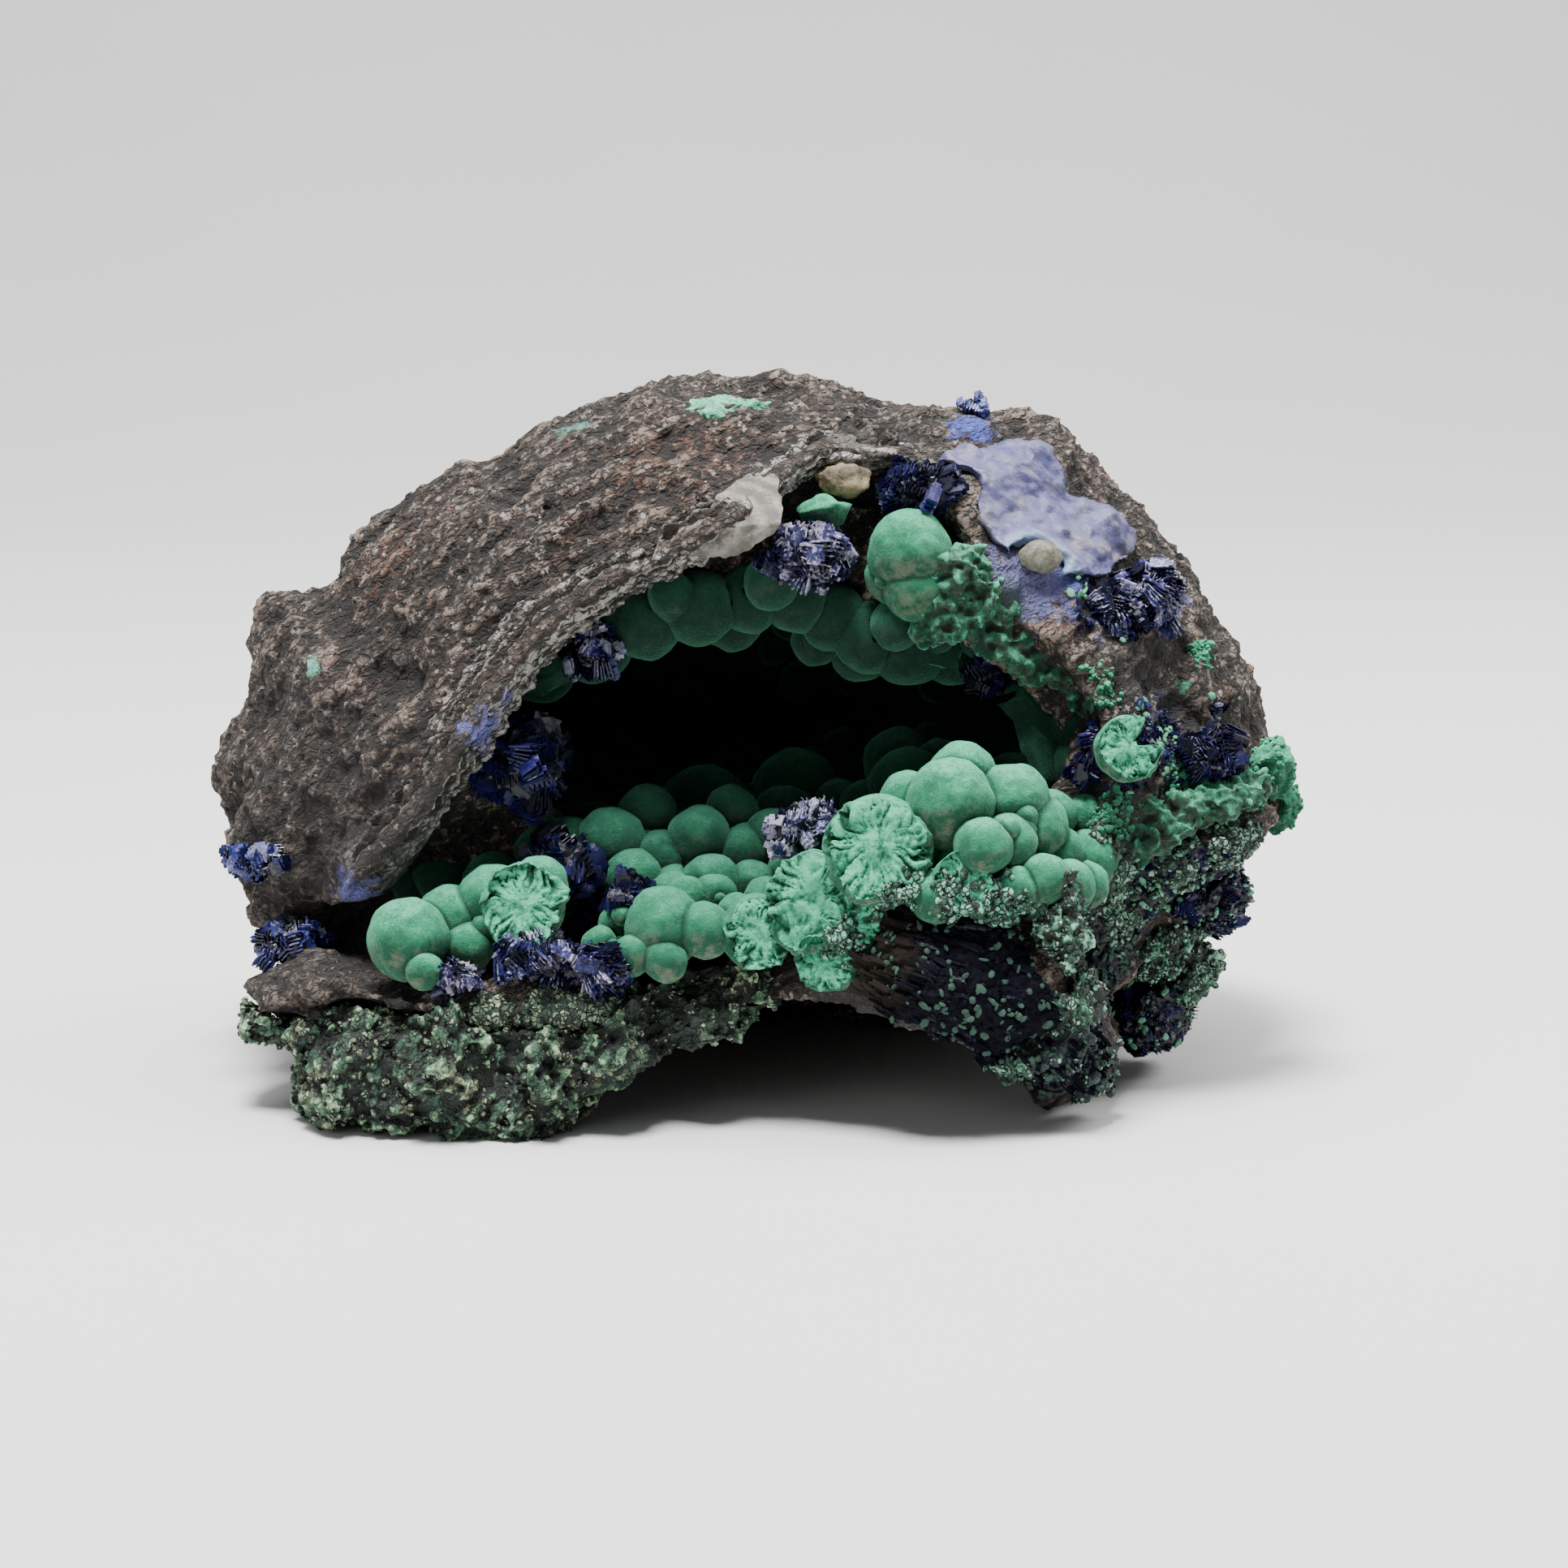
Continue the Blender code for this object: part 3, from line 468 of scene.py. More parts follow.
class Shader:
    """A material with a Principled shader, and short ways to add nodes to it."""

    def __init__(self, name: str) -> None:
        """Makes the material.

        Args:
            name: its name.
        """
        self.material = bpy.data.materials.new(name)
        self.material.use_nodes = True
        self.nodes = self.material.node_tree.nodes
        self.links = self.material.node_tree.links
        self.surface = self.nodes["Principled BSDF"]
        self.place = self.node("ShaderNodeTexCoord", output="Object")

    def node(
        self,
        kind: str,
        settings: Optional[dict[str, object]] = None,
        inputs: Optional[dict[Union[str, int], Feed]] = None,
        output: Union[str, int] = 0,
    ) -> Wire:
        """Adds a node.

        Args:
            kind: the node's type.
            settings: its own settings, set first.
            inputs: a value or a link for each of its sockets.
            output: the socket that is returned.

        Returns:
            The output.
        """
        made = self.nodes.new(kind)
        for key, value in (settings or {}).items():
            setattr(made, key, value)
        for key, value in (inputs or {}).items():
            self.feed(made.inputs[key], value)
        return Wire(self, made.outputs[output])

    def feed(self, socket: bpy.types.NodeSocket, value: Feed) -> None:
        """Links a wire to a socket, or sets the socket's value.

        Args:
            socket: the input socket.
            value: the wire or the value.
        """
        if isinstance(value, Wire):
            self.links.new(value.socket, socket)
        elif isinstance(value, (int, float)):
            socket.default_value = value
        else:
            socket.default_value = (*value, 1) if socket.type == "RGBA" and len(value) == 3 else value

    def noise(self, size: float, detail: float = 3, rough: float = 0.55, at: Optional[Wire] = None) -> Wire:
        """Cloudy noise from about 0.25 to 0.75."""
        inputs = {"Vector": at or self.place, "Scale": 1 / (size * MM), "Detail": detail, "Roughness": rough}
        return self.node("ShaderNodeTexNoise", None, inputs)

    def cells(
        self, size: float, feature: str = "F1", output: str = "Distance", at: Optional[Wire] = None
    ) -> Wire:
        """Voronoi cells."""
        inputs = {"Vector": at or self.place, "Scale": 1 / (size * MM)}
        return self.node("ShaderNodeTexVoronoi", {"feature": feature}, inputs, output)

    def attribute(self, name: str) -> Wire:
        """A number that the mesh keeps at its points."""
        return self.node("ShaderNodeAttribute", {"attribute_name": name}, output="Fac")

    def axis(self, name: str) -> Wire:
        """One of the object's coordinates in millimetres, "X", "Y" or "Z"."""
        return self.node("ShaderNodeSeparateXYZ", None, {0: self.place}, name) * (1 / MM)

    def upward(self) -> Wire:
        """How far the surface looks up, from -1 to 1."""
        normal = self.node("ShaderNodeNewGeometry", output="Normal")
        return self.node("ShaderNodeSeparateXYZ", None, {0: normal}, "Z")

    def distance(self, centre: Sequence[float]) -> Wire:
        """The distance in millimetres from a place in the frame."""
        spot = [value * MM for value in centre]
        vector = {"operation": "DISTANCE"}
        return self.node("ShaderNodeVectorMath", vector, {0: self.place, 1: spot}, "Value") * (1 / MM)

    def patch(self, region: Region, uneven: Wire, full: float) -> Wire:
        """The share of a colour that covers a region of the surface.

        Args:
            region: where it is and how far it reaches.
            uneven: noise in millimetres that makes its edge uneven.
            full: the share of its reach inside which it is full.

        Returns:
            The share, from 0 outside to 1 inside.
        """
        place, reach = region
        return (self.distance(place) + uneven).step(reach, reach * full)

    def stretched(self, along: Place, ratio: float) -> Wire:
        """The object's coordinates drawn out along a direction.

        Args:
            along: the direction.
            ratio: how many times.

        Returns:
            The coordinates.
        """
        turn = Vector(along).to_track_quat("X", "Z").inverted().to_euler()
        inputs = {"Vector": self.place, "Rotation": tuple(turn)}
        turned = self.node("ShaderNodeMapping", None, inputs)
        return self.node("ShaderNodeVectorMath", {"operation": "MULTIPLY"}, {0: turned, 1: (1 / ratio, 1, 1)})

    def warped(self, at: Wire, size: float, push: float) -> Wire:
        """Coordinates pushed about by noise.

        Args:
            at: the coordinates.
            size: the size of the noise's features in millimetres.
            push: how far they move at most, in millimetres.

        Returns:
            The coordinates.
        """
        inputs = {"Vector": self.place, "Scale": 1 / (size * MM), "Detail": 2}
        cloud = self.node("ShaderNodeTexNoise", None, inputs, "Color")
        reach = (push * 2 * MM,) * 3
        return self.node("ShaderNodeVectorMath", {"operation": "MULTIPLY_ADD"}, {0: cloud, 1: reach, 2: at})

    def tone_of(self, cells: Wire) -> Wire:
        """One random number for each cell, from the cells' colour."""
        return self.node("ShaderNodeSeparateColor", None, {0: cells}, "Red")

    def sine(self, angle: Wire) -> Wire:
        """The sine of an angle in radians."""
        return self.node("ShaderNodeMath", {"operation": "SINE"}, {0: angle})

    def mix(self, low: Feed, high: Feed, share: Feed) -> Wire:
        """Mixes two colours."""
        settings = {"data_type": "RGBA", "clamp_factor": True}
        return self.node("ShaderNodeMix", settings, {0: share, 6: low, 7: high}, 2)

    def finish(
        self,
        colour: Feed,
        roughness: Feed,
        bump: Optional[Wire] = None,
        bump_height: float = 0.1,
        **fixed: Feed,
    ) -> bpy.types.Material:
        """Feeds the Principled shader.

        Args:
            colour: the base colour.
            roughness: the roughness.
            bump: the height of the fine relief.
            bump_height: the depth in millimetres of a height of 1.
            fixed: values of other sockets, with _ for a space.

        Returns:
            The finished material.
        """
        self.feed(self.surface.inputs["Base Color"], colour)
        self.feed(self.surface.inputs["Roughness"], roughness)
        for key, value in fixed.items():
            self.surface.inputs[key.replace("_", " ").title().replace("Ior", "IOR")].default_value = value
        if bump is not None:
            inputs = {"Height": bump, "Distance": bump_height * MM, "Strength": 1.0}
            self.feed(self.surface.inputs["Normal"], self.node("ShaderNodeBump", None, inputs))
        return self.material


@dataclass(frozen=True)
class Spot:
    """A patch of the surface round a place: where it is, how far it reaches, and its colour."""

    place: Place
    reach: float
    colour: Colour
    soft: float = 0.6
    strength: float = 1.0

    def lay(self, shader: Shader, under: Feed, wobble: Wire) -> Wire:
        """Lays the patch over a colour.

        Args:
            shader: the shader.
            under: the colour under it.
            wobble: noise from 0 to 1 that makes its edge uneven.

        Returns:
            The new colour.
        """
        uneven = (wobble - 0.5) * (self.reach * 2.4)
        share = shader.patch((self.place, self.reach), uneven, 1 - self.soft) * self.strength
        return shader.mix(under, self.colour, share)


LAYER_LIE: Place = (0.8, 0.2, 0.55)  # the direction in which the gossan's layers are drawn out
LAVENDER: Colour = (0.13, 0.135, 0.38)
BLUE_STAIN: Colour = (0.045, 0.055, 0.26)
NIGHT_STAIN: Colour = (0.008, 0.009, 0.035)
MINT: Colour = (0.06, 0.32, 0.18)


@dataclass(frozen=True)
class Gossan:
    """Brown-grey iron-stained rock, pitted and streaked, with pale layers along the mouth's rim. Its colour
    also holds painted light: raised parts and rim edges lighter, low parts darker, and painted shade on the
    walls of the hollow and over the lower left.
    """

    slot: ClassVar[str] = "gossan"
    # Dark joints between grains, and painted shade in pits, cracks and low parts.
    deep: Colour = (0.004, 0.003, 0.002)
    body: Colour = (0.034, 0.021, 0.014)
    # Raised parts lighter: partly the grains' own colour, partly painted highlight.
    crest: Colour = (0.22, 0.165, 0.13)
    rust: Colour = (0.1, 0.03, 0.012)
    ash: Colour = (0.05, 0.041, 0.034)
    pale: Colour = (0.48, 0.45, 0.41)
    # Painted shade on the walls of the hollow, tinted dark green.
    hollow: Colour = (0.004, 0.022, 0.015)
    spark: Colour = (0.36, 0.33, 0.29)
    rust_spots: tuple[Region, ...] = (
        ((-6.3, -14.4, 55.0), 8.0),
        ((-30.9, -9.4, 45.4), 5.0),
        ((-15.0, -17.6, 49.2), 4.0),
        ((25.8, -19.0, 41.8), 4.0),
        ((9.3, -30.7, 15.2), 5.0),
        ((40.5, -10.6, 32.9), 3.5),
    )
    stains_and_shade: tuple[Spot, ...] = (
        # The first two spots darken the lower left and the low end of the rim as painted shade.
        Spot((-37.0, -22.0, 21.0), 22.0, (0.012, 0.0095, 0.008), 0.8, 0.65),
        Spot((-29.0, -26.5, 21.0), 7.0, (0.016, 0.013, 0.012), 0.8, 0.6),
        Spot((34.5, -17.0, 37.5), 5.5, (0.014, 0.012, 0.012), strength=0.7),
        Spot((39.5, -13.0, 31.5), 5.5, (0.016, 0.013, 0.01), strength=0.6),
        Spot((-21.6, -24.5, 33.0), 2.5, LAVENDER, strength=0.9),
        Spot((-19.8, -24.5, 35.8), 1.2, LAVENDER, strength=0.8),
        Spot((-33.2, -22.3, 18.2), 3.4, LAVENDER, strength=0.9),
        Spot((-36.5, -21.0, 15.0), 2.4, LAVENDER, strength=0.9),
        Spot((19.3, -5.3, 56.6), 2.6, (0.06, 0.09, 0.4), strength=0.8),
        Spot((9.0, -12.0, 56.5), 2.6, (0.16, 0.15, 0.13), strength=0.6),
        Spot((24.7, -17.6, 46.0), 5.0, (0.085, 0.088, 0.2), 0.25, 0.95),
        Spot((8.0, -31.0, 11.0), 6.5, (0.016, 0.014, 0.011), strength=0.95),
        Spot((15.5, -31.0, 9.5), 6.0, (0.016, 0.016, 0.016), strength=0.9),
        Spot((28.0, -16.0, 44.6), 2.6, BLUE_STAIN, strength=0.7),
        Spot((21.5, -18.0, 43.0), 2.4, (0.02, 0.045, 0.022), strength=0.7),
        Spot((-21.3, -32.0, 10.7), 3.6, (0.012, 0.024, 0.012), strength=0.9),
        Spot((-15.5, -32.0, 10.9), 4.0, (0.012, 0.028, 0.014), strength=0.95),
        Spot((-10.7, -30.8, 11.1), 4.4, (0.01, 0.028, 0.014), strength=0.95),
        Spot((38.5, -18.3, 19.4), 5.0, NIGHT_STAIN, strength=0.85),
        Spot((42.5, -18.5, 22.5), 4.0, (0.01, 0.02, 0.016), strength=0.85),
        Spot((34.3, -19.6, 19.0), 3.4, (0.01, 0.02, 0.016), strength=0.8),
        Spot((31.2, -22.6, 25.9), 4.0, (0.014, 0.034, 0.02), strength=0.85),
        Spot((30.0, -23.4, 22.0), 3.4, (0.012, 0.03, 0.018), strength=0.85),
        Spot((32.0, -21.5, 29.0), 3.0, NIGHT_STAIN, strength=0.7),
        Spot((-37.2, -14.0, 36.9), 1.0, (0.16, 0.42, 0.33)),
        Spot((-15.3, -5.8, 56.7), 2.0, (0.12, 0.3, 0.24), strength=0.7),
        Spot((39.0, -10.5, 37.5), 1.4, MINT),
        Spot((37.4, -14.0, 35.2), 1.0, MINT, strength=0.8),
        Spot((35.7, -16.9, 31.8), 4.0, NIGHT_STAIN, strength=0.8),
        Spot((42.0, -11.0, 31.0), 2.2, NIGHT_STAIN, strength=0.8),
        Spot((34.0, -17.5, 20.0), 5.0, NIGHT_STAIN, strength=0.7),
        Spot((27.0, -29.0, 5.0), 8.0, NIGHT_STAIN, strength=0.85),
        Spot((30.5, -21.0, 13.0), 6.0, NIGHT_STAIN, strength=0.7),
        Spot((30.5, -19.0, 44.0), 4.5, BLUE_STAIN, strength=0.5),
    )

    def make(self) -> bpy.types.Material:
        """Makes the material."""
        shader = Shader("gossan")
        relief = shader.attribute("relief")
        rim = shader.attribute("rim")
        hollow = shader.attribute("hollow")
        lie = shader.stretched(LAYER_LIE, 1.7)
        bent = shader.warped(lie, 0.8, 0.5)
        streaks = shader.noise(2.2, 4, 0.6, at=shader.stretched(LAYER_LIE, 3.0))
        pits = shader.cells(1.15, at=shader.warped(lie, 0.6, 0.35)).step(0.32, 0.16) * streaks.step(0.62, 0.5)
        grain = shader.noise(0.7, 5, 0.7, at=lie)
        fine = shader.noise(0.2, 3, 0.7)
        wide = shader.noise(9.0, 3, 0.6)
        split = shader.cells(4.2, "DISTANCE_TO_EDGE", at=shader.warped(lie, 1.6, 1.2)).step(0.06, 0.01)
        split = split * wide.step(0.42, 0.54)
        tone = shader.tone_of(shader.cells(0.75, output="Color", at=bent))
        gap = shader.cells(0.75, "DISTANCE_TO_EDGE", at=bent).step(0.2, 0.02)
        crushed = shader.warped(shader.place, 0.5, 0.3)
        small_tone = shader.tone_of(shader.cells(0.4, output="Color", at=crushed))
        height = relief * 0.35 + grain * 0.8 + streaks * 0.45 + (tone - 0.5) * 0.12
        height = height + (small_tone - 0.5) * 0.08 - 0.125
        colour = shader.mix(self.body, self.ash, wide.step(0.42, 0.6) * 0.9)
        rust = shader.noise(4.5, 4, 0.65).step(0.5, 0.68) * 0.5
        for place, reach in self.rust_spots:
            near = shader.distance(place).step(reach * 1.3, reach * 0.2)
            rust = rust.highest(near * shader.noise(1.4, 3, 0.7).step(0.34, 0.6))
        colour = shader.mix(colour, self.rust, rust * 0.8)
        # Raised parts are made lighter, partly from the relief: painted highlight mixed with the grain's own
        # colour.
        colour = shader.mix(colour, self.crest, (height + fine * 0.3 - 0.15).step(0.53, 0.7) * 0.85)
        lines = shader.sine(rim * 26.0 + streaks * 9.0 + grain * 3.0).step(0.1, 0.9)
        band = rim.step(0.55, 0.95)
        colour = shader.mix(colour, self.body, rim.step(0.35, 0.6) * 0.75)
        # Raised edges along the rim turn pale: the pale layers' own colour, partly painted highlight.
        edge = (relief + (fine - 0.5) * 0.3).step(0.12, 0.34) * rim.step(0.3, 0.5)
        band_light = band * (lines * (grain + 0.2)).step(0.25, 0.5)
        edge_line = rim.step(0.82, 0.95) * grain.step(0.32, 0.44)
        colour = shader.mix(colour, self.pale, edge.highest(band_light).highest(edge_line) * 0.85)
        # Low parts, pits and cracks are darkened: painted shade, with the dark joints between grains.
        dark = (gap * grain.step(0.6, 0.47)).highest(height.step(0.53, 0.4)).highest(pits).highest(split)
        colour = shader.mix(colour, self.deep, dark * 0.95)
        spark = small_tone.step(0.93, 0.95) * height.step(0.45, 0.6) * (1.0 - hollow)
        colour = shader.mix(colour, self.spark, spark * 0.6)
        wobble = shader.noise(1.3, 4, 0.7)
        # Stained patches, and spots of painted shade.
        for stain_and_shade_spot in self.stains_and_shade:
            colour = stain_and_shade_spot.lay(shader, colour, wobble)
        # Painted shade on the walls of the hollow.
        colour = shader.mix(colour, self.hollow, hollow * 0.95)
        bump = grain * 0.8 + tone * 0.25 - gap * 0.35 + fine * 0.35 + small_tone * 0.12
        bump = bump + band * lines * 0.4 - pits * 0.7
        return shader.finish(colour, 0.86 - spark * 0.4, bump, 0.75)


@dataclass(frozen=True)
class Malachite:
    """Velvety balls with tan dust and fibres: mint on top and deep green below, partly their own colour and
    partly painted light from above, with painted shade in creases, low spots and deep in the hollow.
    """

    slot: ClassVar[str] = "malachite"
    name: str = "malachite"
    # Painted shade in the creases between balls.
    deep: Colour = (0.002, 0.018, 0.01)
    body: Colour = (0.006, 0.065, 0.033)
    mint: Colour = (0.018, 0.185, 0.092)
    # Paler on top and on raised crumbs: partly a frosty coat, partly painted highlight.
    frost_and_highlight: Colour = (0.085, 0.4, 0.24)
    dust: Colour = (0.13, 0.135, 0.095)
    broken: Colour = (0.1, 0.54, 0.32)
    between_fibres: Colour = (0.004, 0.05, 0.026)
    # Painted shade in the low spots of the surface.
    low: Colour = (0.002, 0.018, 0.01)
    rotten: Colour = (0.014, 0.015, 0.009)
    # Painted shade deep in the hollow, growing from back_from to back_to along y.
    far_back_shade: Colour = (0.001, 0.013, 0.008)
    sheen_tint: tuple[float, ...] = (0.3, 1.0, 0.62, 1.0)
    dusting: float = 0.8
    decay: float = 0.0
    back_from: float = 90.0
    back_to: float = FAR

    def make(self) -> bpy.types.Material:
        """Makes the material."""
        shader = Shader(self.name)
        relief = shader.attribute("relief")
        fibre = shader.attribute("fibre")
        fine = shader.noise(0.22, 3, 0.7)
        mottle = shader.noise(0.8, 4, 0.7)
        cloud = shader.noise(2.6, 3, 0.6)
        up = shader.upward()
        # Upward-facing parts turn mint and frosty: partly their powdery coat, partly painted light from
        # above.
        powder_and_top_light = (up * 0.65 + cloud * 0.9 + mottle * 0.7 + fine * 0.4 - 0.85).step(0.0, 0.7)
        colour = shader.mix(self.body, self.mint, powder_and_top_light)
        frost_and_highlight = (up * 0.65 + fine * 0.9 + mottle * 0.7 - 1.0).step(0.12, 0.6) * 0.85
        colour = shader.mix(colour, self.frost_and_highlight, frost_and_highlight)
        specks = shader.cells(0.55).step(0.4, 0.2) * mottle.step(0.46, 0.6)
        under = (0.4 - up * 0.8).step(0.0, 0.9)
        film = under * (mottle * 0.6 + cloud * 0.4).step(0.46, 0.62)
        colour = shader.mix(colour, self.dust, (specks * under).highest(film) * self.dusting)
        # Low spots darkened: painted shade.
        colour = shader.mix(colour, self.low, (relief + fine * 0.05).step(0.0, -0.22) * 0.9)
        rotten = (mottle * 0.6 + cloud * 0.4 + (fine - 0.5) * 0.3).step(0.5, 0.58) * self.decay
        colour = shader.mix(colour, self.rotten, rotten)
        # Raised crumbs of weathered balls are made lighter: painted highlight.
        colour = shader.mix(colour, self.frost_and_highlight, (relief + (fine - 0.5) * 0.4).step(0.1, 0.4) * self.decay)
        # Creases between balls darkened: painted shade.
        crease = shader.attribute("crease") + (fine - 0.5) * 0.8
        colour = shader.mix(colour, self.deep, crease.step(0.3, 1.05) * 0.8)
        grit = fibre + (mottle - 0.5) * 0.9 + (fine - 0.5) * 0.9
        bright = shader.mix(self.mint, self.broken, grit.step(0.3, 0.8))
        bright = shader.mix(self.between_fibres, bright, grit.step(0.05, 0.45))
        colour = shader.mix(colour, bright, fibre.step(0.0, 0.06))
        # Darker deeper in the hollow: painted shade.
        back = shader.axis("Y").step(self.back_from, self.back_to)
        colour = shader.mix(colour, self.far_back_shade, back * 0.85)
        bump = fine * 0.6 + mottle * 0.5 + shader.noise(0.09, 2, 0.6) * 0.3 + fibre * fine * 1.5
        fixed = {"Sheen_weight": 0.35, "Sheen_roughness": 0.35, "Sheen_tint": self.sheen_tint}
        return shader.finish(colour, 0.85, bump, 0.24, Specular_ior_level=0.25, **fixed)


@dataclass(frozen=True)
class Azurite:
    """Near-black blue blades with a glassy surface, some of them dusted lavender and grey."""

    slot: ClassVar[str] = "azurite"
    name: str = "azurite"
    night: Colour = (0.0015, 0.0016, 0.009)
    royal: Colour = (0.005, 0.006, 0.06)
    lavender: Colour = (0.07, 0.06, 0.17)
    chalk: Colour = (0.3, 0.27, 0.3)
    speck: Colour = (0.08, 0.24, 0.14)
    earth: Colour = (0.03, 0.02, 0.012)
    earthy: tuple[Region, ...] = (((9.3, -30.7, 15.2), 6.5), ((6.8, -30.4, 12.4), 4.5))
    dusted: float = 0.2
    matt: float = 0.2

    def make(self) -> bpy.types.Material:
        """Makes the material."""
        shader = Shader(self.name)
        tone = shader.attribute("tone")
        fine = shader.noise(0.3, 3, 0.7)
        cloud = shader.noise(1.6, 3, 0.6)
        colour = shader.mix(self.night, self.royal, (tone + cloud - 0.5).step(0.3, 0.95) * 0.8)
        worn = (tone * 0.7 + cloud * 0.9 + fine * 0.7 + self.dusted - 1.3).step(0.1, 0.5)
        colour = shader.mix(colour, self.lavender, worn * 0.5)
        colour = shader.mix(colour, self.chalk, (worn + fine - 1.0).step(0.25, 0.6) * 0.7)
        uneven = (shader.noise(1.2, 4, 0.7) - 0.5) * 8
        brown = reduce(Wire.highest, [shader.patch(region, uneven, 0.6) for region in self.earthy])
        colour = shader.mix(colour, self.earth, brown * 0.9)
        colour = shader.mix(colour, self.speck, tone.step(SPECK_TONE * 0.7, SPECK_TONE * 0.8))
        rough = brown * 0.4 + worn * 0.3 + self.matt
        return shader.finish(colour, rough, fine, 0.05, Specular_ior_level=0.5 * (1 - self.matt))


@dataclass(frozen=True)
class Druse:
    """A sugary crust of green and tan grains, dark between them: dark joints and painted shade in the low
    spots, raised grains lighter as painted highlight, and painted shadow over some regions.
    """

    slot: ClassVar[str] = "green_crust"
    name: str = "green_crust"
    # Dark joints between grains, and painted shade in the low spots.
    gap: Colour = (0.003, 0.007, 0.004)
    leaf: Colour = (0.012, 0.05, 0.026)
    sage: Colour = (0.07, 0.165, 0.085)
    tan: Colour = (0.12, 0.088, 0.045)
    pale: Colour = (0.34, 0.46, 0.28)
    shadow: Colour = (0.003, 0.003, 0.012)
    earth: float = 0.7
    # Regions of painted shadow.
    night: tuple[Region, ...] = ()

    def make(self) -> bpy.types.Material:
        """Makes the material."""
        shader = Shader(self.name)
        relief = shader.attribute("relief")
        tone = shader.attribute("tone")
        cloud = shader.noise(3.2, 4, 0.65)
        fine = shader.noise(0.35, 3, 0.7)
        bent = shader.warped(shader.place, 0.8, 0.4)
        grain = shader.tone_of(shader.cells(0.6, output="Color", at=bent))
        gap = shader.cells(0.6, "DISTANCE_TO_EDGE", at=bent).step(0.16, 0.02)
        # Raised parts lighter, partly from the relief: painted highlight mixed with the grains' own tones.
        light = fine * 0.6 + cloud * 0.5 + (grain + tone) * 0.3 + relief * 0.5
        colour = shader.mix(self.leaf, self.sage, (light - 0.4).step(0.2, 0.7))
        colour = shader.mix(colour, self.tan, (cloud + (tone - 0.5) * 0.1).step(0.46, 0.6) * self.earth)
        colour = shader.mix(colour, self.pale, (light + tone * 0.15 - 0.4).step(0.42, 0.68) * 0.85)
        # Joints between grains and low spots darkened: dark joints and painted shade.
        colour = shader.mix(colour, self.gap, (relief + fine * 0.1 + gap * -0.18 - 0.05).step(0.06, -0.11))
        uneven = (shader.noise(1.3, 4, 0.7) - 0.5) * 8
        # Painted shadow over the night regions.
        for region in self.night:
            near = shader.patch(region, uneven, 0.5)
            colour = shader.mix(colour, self.shadow, near * (tone + fine).step(1.1, 0.9) * 0.9)
        return shader.finish(colour, 0.7, fine + grain * 0.3 - gap * 0.3, 0.2)


@dataclass(frozen=True)
class PaleSeam:
    """The smooth lavender band: mottled grey and violet, paler round the nodule."""

    slot: ClassVar[str] = "pale_blue"
    violet: Colour = (0.036, 0.037, 0.13)
    lilac: Colour = (0.075, 0.074, 0.17)
    grey: Colour = (0.125, 0.112, 0.14)
    milk: Colour = (0.26, 0.25, 0.32)
    halo: Colour = (0.14, 0.2, 0.31)
    nodule: Place = (24.7, -17.6, 46.6)

    def make(self) -> bpy.types.Material:
        """Makes the material."""
        shader = Shader("pale_blue")
        cloud = shader.noise(4.0, 5, 0.6)
        fine = shader.noise(0.5, 4, 0.7)
        colour = shader.mix(self.violet, self.lilac, (cloud + fine * 0.3).step(0.42, 0.72))
        colour = shader.mix(colour, self.grey, shader.noise(3.0, 4, 0.65).step(0.5, 0.66) * 0.9)
        brush = shader.noise(1.2, 3, 0.6, at=shader.stretched((0.8, -0.2, -0.5), 3.0))
        colour = shader.mix(colour, self.grey, brush.step(0.5, 0.7) * 0.5)
        colour = shader.mix(colour, self.milk, (brush * 0.5 + fine * 0.5).step(0.56, 0.7) * 0.6)
        near = shader.distance(self.nodule) + (fine - 0.5) * 1.2
        colour = shader.mix(colour, self.halo, near.step(4.2, 3.0) * 0.8)
        return shader.finish(colour, 0.5, brush * 0.8 + fine * 0.3, 0.3)


@dataclass(frozen=True)
class RingedStone:
    """Grey to olive stone with faint rings round a place, and painted shadow past a border round it."""

    name: str
    centre: Place
    core: Colour
    edge: Colour
    ring: float = 0.7
    ring_share: float = 0.1
    border: float = FAR
    # Painted shadow in the recess round the stone, past the border.
    outside: Colour = (0.02, 0.02, 0.025)
    slot: str = "grey_stone"

    def make(self) -> bpy.types.Material:
        """Makes the material."""
        shader = Shader(self.name)
        fine = shader.noise(0.4, 4, 0.7)
        far = shader.distance(self.centre) + fine * 0.8
        rings = shader.sine(far * (math.tau / self.ring))
        cloud = shader.noise(1.4, 3, 0.65)
        light = rings * self.ring_share + fine * 0.5 + cloud * 0.5
        colour = shader.mix(self.core, self.edge, light.step(0.38, 0.68))
        # Painted shadow past the border.
        colour = shader.mix(colour, self.outside, far.step(self.border, self.border + 0.4))
        return shader.finish(colour, 0.5, fine, 0.2)


@dataclass(frozen=True)
class StudioPaper:
    """The pale floor."""

    colour: Colour = (0.62, 0.62, 0.61)
    cloudy: Colour = (0.66, 0.66, 0.65)
    cloud_size: float = 90.0

    def make(self) -> bpy.types.Material:
        """Makes the material."""
        shader = Shader("floor")
        cloud = shader.noise(self.cloud_size, 2)
        return shader.finish(shader.mix(self.colour, self.cloudy, cloud), 0.75)


